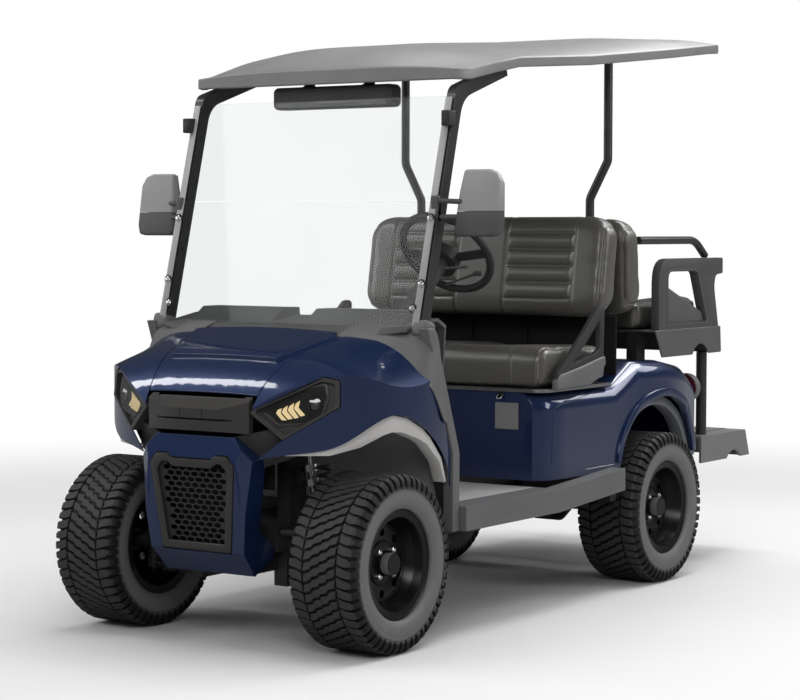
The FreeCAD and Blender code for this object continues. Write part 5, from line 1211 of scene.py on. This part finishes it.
# Hip restraints: an open moulded loop on a padded foot beside each seat end
hipLoop = {"outer": [(-0.186, 0.790), (-0.172, 0.824), (-0.081, 0.888), (0.011, 0.958), (0.077, 1.016),
                     (0.112, 1.043), (0.138, 1.046), (0.156, 1.036), (0.154, 0.988), (0.149, 0.880), (0.156, 0.834),
                     (0.060, 0.826), (-0.080, 0.800)],
           "hole": [(0.118, 0.992), (0.121, 0.893), (0.085, 0.876), (0.010, 0.866), (-0.045, 0.852), (-0.060, 0.858),
                    (0.030, 0.922)],
           "foot": [(-0.188, 0.760), (-0.186, 0.796), (-0.165, 0.815), (-0.020, 0.836), (0.120, 0.862),
                    (0.157, 0.866), (0.160, 0.836), (0.118, 0.790), (0.040, 0.764)],
           "inner": 0.5385, "outerX": 0.566, "loopShare": 0.72, "loopInset": 0.10}


def makeHipLoops():
    deep = hipLoop["outerX"] - hipLoop["inner"]
    loop = ringPlate(hipLoop["outer"], hipLoop["hole"], deep * hipLoop["loopShare"], 0.0055)
    standAt(loop, hipLoop["inner"] + deep * hipLoop["loopInset"])
    foot = standAt(cutPlate(hipLoop["foot"], deep, 0.0085, 4), hipLoop["inner"])
    finishPair(loop, "hipLoop", "grainedPlastic")
    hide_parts("hip_restraints")
    finishPair(foot, "hipFoot", "sillPlastic")


# Ribbed panel under the front backrest, near-black as painted shade in the gap behind the cushion, and the triangular
# infill of each armrest
seatPanel = {"low": (-0.500, 0.349, 0.772), "high": (0.500, 0.359, 1.000), "ribs": (-0.36, -0.12, 0.12, 0.36),
             "infill": [(0.700, 1.112), (0.740, 1.100), (1.030, 0.998), (1.052, 0.966), (1.040, 0.942),
                        (0.700, 0.942)],
             "infillAt": (0.497, 0.511), "ribHalf": 0.006, "ribProud": 0.005, "ribSunk": 0.002, "ribShort": 0.01}


def makeSeatPanels():
    (x0, y0, z0), (x1, y1, z1) = seatPanel["low"], seatPanel["high"]
    pieces = [softBlock(seatPanel["low"], seatPanel["high"], 0.004)]
    half, short = seatPanel["ribHalf"], seatPanel["ribShort"]
    for x in seatPanel["ribs"]:
        pieces.append(softBlock((x - half, y0 - seatPanel["ribProud"], z0 + short),
                                (x + half, y0 + seatPanel["ribSunk"], z1 - short), 0.002))
    finishPiece(joinPieces(pieces), "backrestPanel", "shadowBlack")
    low, high = seatPanel["infillAt"]
    finishPair(standAt(cutPlate(seatPanel["infill"], high - low, 0.005, 3), low), "armInfill", "trayPlastic")


# A sheet through rows of points, smoothed and given a thickness
def makeSkin(rows, thick):
    clearSelection()
    bpy.ops.mesh.primitive_grid_add(x_subdivisions=len(rows[0]) - 1, y_subdivisions=len(rows) - 1, size=1)
    skin = bpy.context.object
    order = sorted(skin.data.vertices, key=lambda vertex: (round(vertex.co.y, 4), vertex.co.x))
    for vertex, place in zip(order, [place for row in rows for place in row]):
        vertex.co = place
    applyModifier(skin, "SUBSURF", levels=3, render_levels=3)
    applyModifier(skin, "SOLIDIFY", thickness=thick, offset=0.0)
    roundEdges(skin, thick * 0.3, 2, 1.0)
    inEditMode(skin, selectAll, faceOut)
    return skin


# Cowl corner: a smooth panel from the dash over the fender's rear edge down the door opening, and each post's socket
cowlCorner = {"thick": 0.005,
              "socket": [(0.500, -1.014, 0.972), (0.560, -0.952, 1.026)], "lean": 15.2,
              "rows": [[(0.2790, -1.1050, 0.9660), (0.2790, -1.0750, 0.9880), (0.2790, -1.0350, 1.0015),
                        (0.2790, -0.9850, 1.0085)],
                     [(0.3510, -1.1170, 0.9610), (0.3530, -1.0800, 0.9850), (0.3550, -1.0350, 1.0005),
                      (0.3580, -0.9850, 1.0085)],
                     [(0.4420, -1.0900, 0.9460), (0.4460, -1.0600, 0.9740), (0.4500, -1.0200, 0.9950),
                      (0.4520, -0.9780, 1.0070)],
                     [(0.4900, -1.0700, 0.9240), (0.5000, -1.0450, 0.9570), (0.5120, -1.0100, 0.9840),
                      (0.5220, -0.9720, 1.0035)],
                     [(0.5270, -1.0570, 0.8940), (0.5410, -1.0360, 0.9300), (0.5540, -1.0040, 0.9650),
                      (0.5650, -0.9765, 1.0208)],
                     [(0.5580, -1.0490, 0.8570), (0.5710, -1.0250, 0.8930), (0.5775, -0.9900, 0.9250),
                      (0.5775, -0.9629, 0.9617)],
                     [(0.5770, -1.0280, 0.8230), (0.5820, -1.0000, 0.8500), (0.5825, -0.9650, 0.8720),
                      (0.5775, -0.9537, 0.8837)],
                     [(0.5825, -1.0117, 0.8176), (0.5808, -0.9897, 0.8109), (0.5792, -0.9670, 0.8041),
                      (0.5775, -0.9450, 0.7974)],
                     [(0.5825, -0.9684, 0.7546), (0.5808, -0.9561, 0.7485), (0.5792, -0.9435, 0.7422),
                      (0.5775, -0.9312, 0.7361)],
                     [(0.5825, -0.9448, 0.7117), (0.5808, -0.9344, 0.7067), (0.5792, -0.9237, 0.7015),
                      (0.5775, -0.9133, 0.6965)]]}


def makeCowlCorners():
    skin = makeSkin(cowlCorner["rows"], cowlCorner["thick"])
    socket = tiltBlock(softBlock(*cowlCorner["socket"], 0.014, 4), *cowlCorner["socket"], -cowlCorner["lean"])
    finishPair(skin, "cowlCorner", "sillPlastic", 50.0)
    finishPair(socket, "postSocket", "sillPlastic", 50.0)


# Rounds each corner of an outline by its own radius
def roundCorners(points, radius, steps=5):
    rounded = []
    for i, point in enumerate(points):
        corner = Vector(point)
        before, after = Vector(points[i - 1]) - corner, Vector(points[(i + 1) % len(points)]) - corner
        reach = min(radius[i], before.length * 0.48, after.length * 0.48)
        start, end = corner + before.normalized() * reach, corner + after.normalized() * reach
        for k in range(steps + 1):
            share = k / steps
            rounded.append(tuple(start * (1 - share) ** 2 + corner * 2 * share * (1 - share) + end * share ** 2))
    return rounded


# Armrests: rounded side frames with a stepped inner edge
armFrame = {"outer": [(0.650, 0.936), (0.650, 1.207), (1.1935, 1.207), (1.1935, 1.146), (1.130, 1.140),
                      (1.118, 1.095), (1.158, 0.936)],
            "outerRound": [0.006, 0.090, 0.010, 0.008, 0.020, 0.030, 0.006],
            "hole": [(0.722, 0.955), (0.722, 1.160), (0.972, 1.160), (1.060, 0.955)],
            "holeRound": [0.010, 0.030, 0.022, 0.015], "middle": (0.855, 1.060), "low": 0.488, "high": 0.5215,
            "lipOuter": 1.06, "lipInner": 0.97, "lipProud": 0.004, "lipFrom": 0.003}


def makeArmrests():
    low, middle = armFrame["low"], armFrame["middle"]
    deep = armFrame["high"] - low
    hole = roundCorners(armFrame["hole"], armFrame["holeRound"])
    frameRing = ringPlate(roundCorners(armFrame["outer"], armFrame["outerRound"]), hole, deep, 0.0050)
    lip = ringPlate(shrinkOutline(hole, armFrame["lipOuter"], middle),
                    shrinkOutline(hole, armFrame["lipInner"], middle), deep + armFrame["lipProud"], 0.0025)
    armrest = joinPieces([standAt(frameRing, low), standAt(lip, low - armFrame["lipFrom"])])
    finishPair(armrest, "armFrame", "mirrorDark", 40.0)
    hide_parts("armrests")


# Edge of the sheet where it lies over each post, pale grey as a painted sheen of the sheet over the post
screenEdge = {"inner": 0.504, "outer": 0.5295, "low": (-1.0105, 1.014), "high": (-0.8150, 1.742), "thick": 0.0025}


def makeScreenEdges():
    inner, outer, low, high = [screenEdge[key] for key in ("inner", "outer", "low", "high")]
    corners = [(inner, *low), (outer, *low), (outer, *high), (inner, *high)]
    finishPair(makePanel(corners, screenEdge["thick"], 0.0006), "screenEdge", "edgeGrey")


# Turn lever under the wheel
lever = {"stem": [(0.300, -0.492, 1.128), (0.345, -0.474, 1.146), (0.405, -0.468, 1.166)], "radius": 0.0042,
         "paddle": ((0.395, -0.474, 1.158), (0.430, -0.460, 1.176)), "soften": 0.005}


def makeLever():
    stem = drawBar(lever["stem"], lever["radius"], 4)
    finishPiece(joinPieces([stem, softBlock(*lever["paddle"], lever["soften"])]), "turnLever", "mirrorDark")


# Grey shells round the tail lamps
tailShell = {"place": (0.470, 0.9595, 0.702),
             "profile": [(0.0, 0.0530), (0.0, 0.0562), (0.0300, 0.0562), (0.0400, 0.0545), (0.0415, 0.0520),
                         (0.0400, 0.0495), (0.0360, 0.0495), (0.0360, 0.0522)]}


def makeTailShells():
    x, y, z = tailShell["place"]
    for side, word in ((1, "Left"), (-1, "Right")):
        shell = spinProfile(tailShell["profile"], 48)
        shell.data.transform(Matrix.Rotation(math.pi / 2, 4, "Z"))
        shell.data.transform(Matrix.Translation((x * side, y, z)))
        finishPiece(shell, "tailShell" + word, "sillPlastic")


# Small trim: the latch on the seat base, a stripe above each sill and the light bar's lens
smallTrim = {"plate": ((0.348, -0.2290, 0.728), (0.372, -0.2240, 0.750)),
             "loop": [(0.350, -0.230, 0.742), (0.350, -0.240, 0.733), (0.354, -0.243, 0.728), (0.366, -0.243, 0.728),
                      (0.370, -0.240, 0.733), (0.370, -0.230, 0.742)], "loopRadius": 0.0016,
             "stripe": ((0.5395, 0.060, 0.4640), (0.5412, 0.268, 0.4665)),
             "lens": ((-0.225, -0.7455, 1.728), (0.225, -0.7400, 1.746))}


def makeSmallTrim():
    finishPiece(softBlock(*smallTrim["plate"], 0.002), "latchPlate", "shadowBlack")
    finishPiece(drawBar(smallTrim["loop"], smallTrim["loopRadius"], 3), "latchLoop", "chrome")
    finishPair(softBlock(*smallTrim["stripe"], 0.0004, 1), "sideStripe", "chrome")
    finishPiece(softBlock(*smallTrim["lens"], 0.0025), "lightBarLens", "lampBall")


makeLampBar()
makeHeadLamps()
makeGrilleTrim()
makeRecess()
print("nose dressed")

# Finish and edge rounding of the shapes carved from their nodes
shapes = {"hood": ("bodyPaint", 0.0045), "fender_left": ("bodyPaint", 0.005), "fender_right": ("bodyPaint", 0.005),
          "front_bumper": ("bodyPaint", 0.004), "rear_body": ("bodyPaint", 0.006), "roof": ("roofPlastic", 0.006),
          "dashboard": ("trayPlastic", 0.006), "cowl_sides": ("sillPlastic", 0.004),
          "steering_column": ("mirrorDark", 0.005), "rear_tray": ("trayPlastic", 0.010),
          "sills": ("sillPlastic", 0.004), "foot_platform": ("platformGrey", 0.005),
          "light_bar": ("lampPlastic", 0.010), "front_posts": ("postBlack", 0.003)}
for node, (finish, soften) in shapes.items():
    carve(node, finish, soften)
print("body shapes softened")

makeMirrors()
makeFixings()
makeFlares()
makeSprings()
makeSmallTrim()
makeBodySide()
makeHipLoops()
makeSeatPanels()
makeCowlCorners()
makeArmrests()
makeScreenEdges()
makeLever()
makeTailShells()
print("trim made")
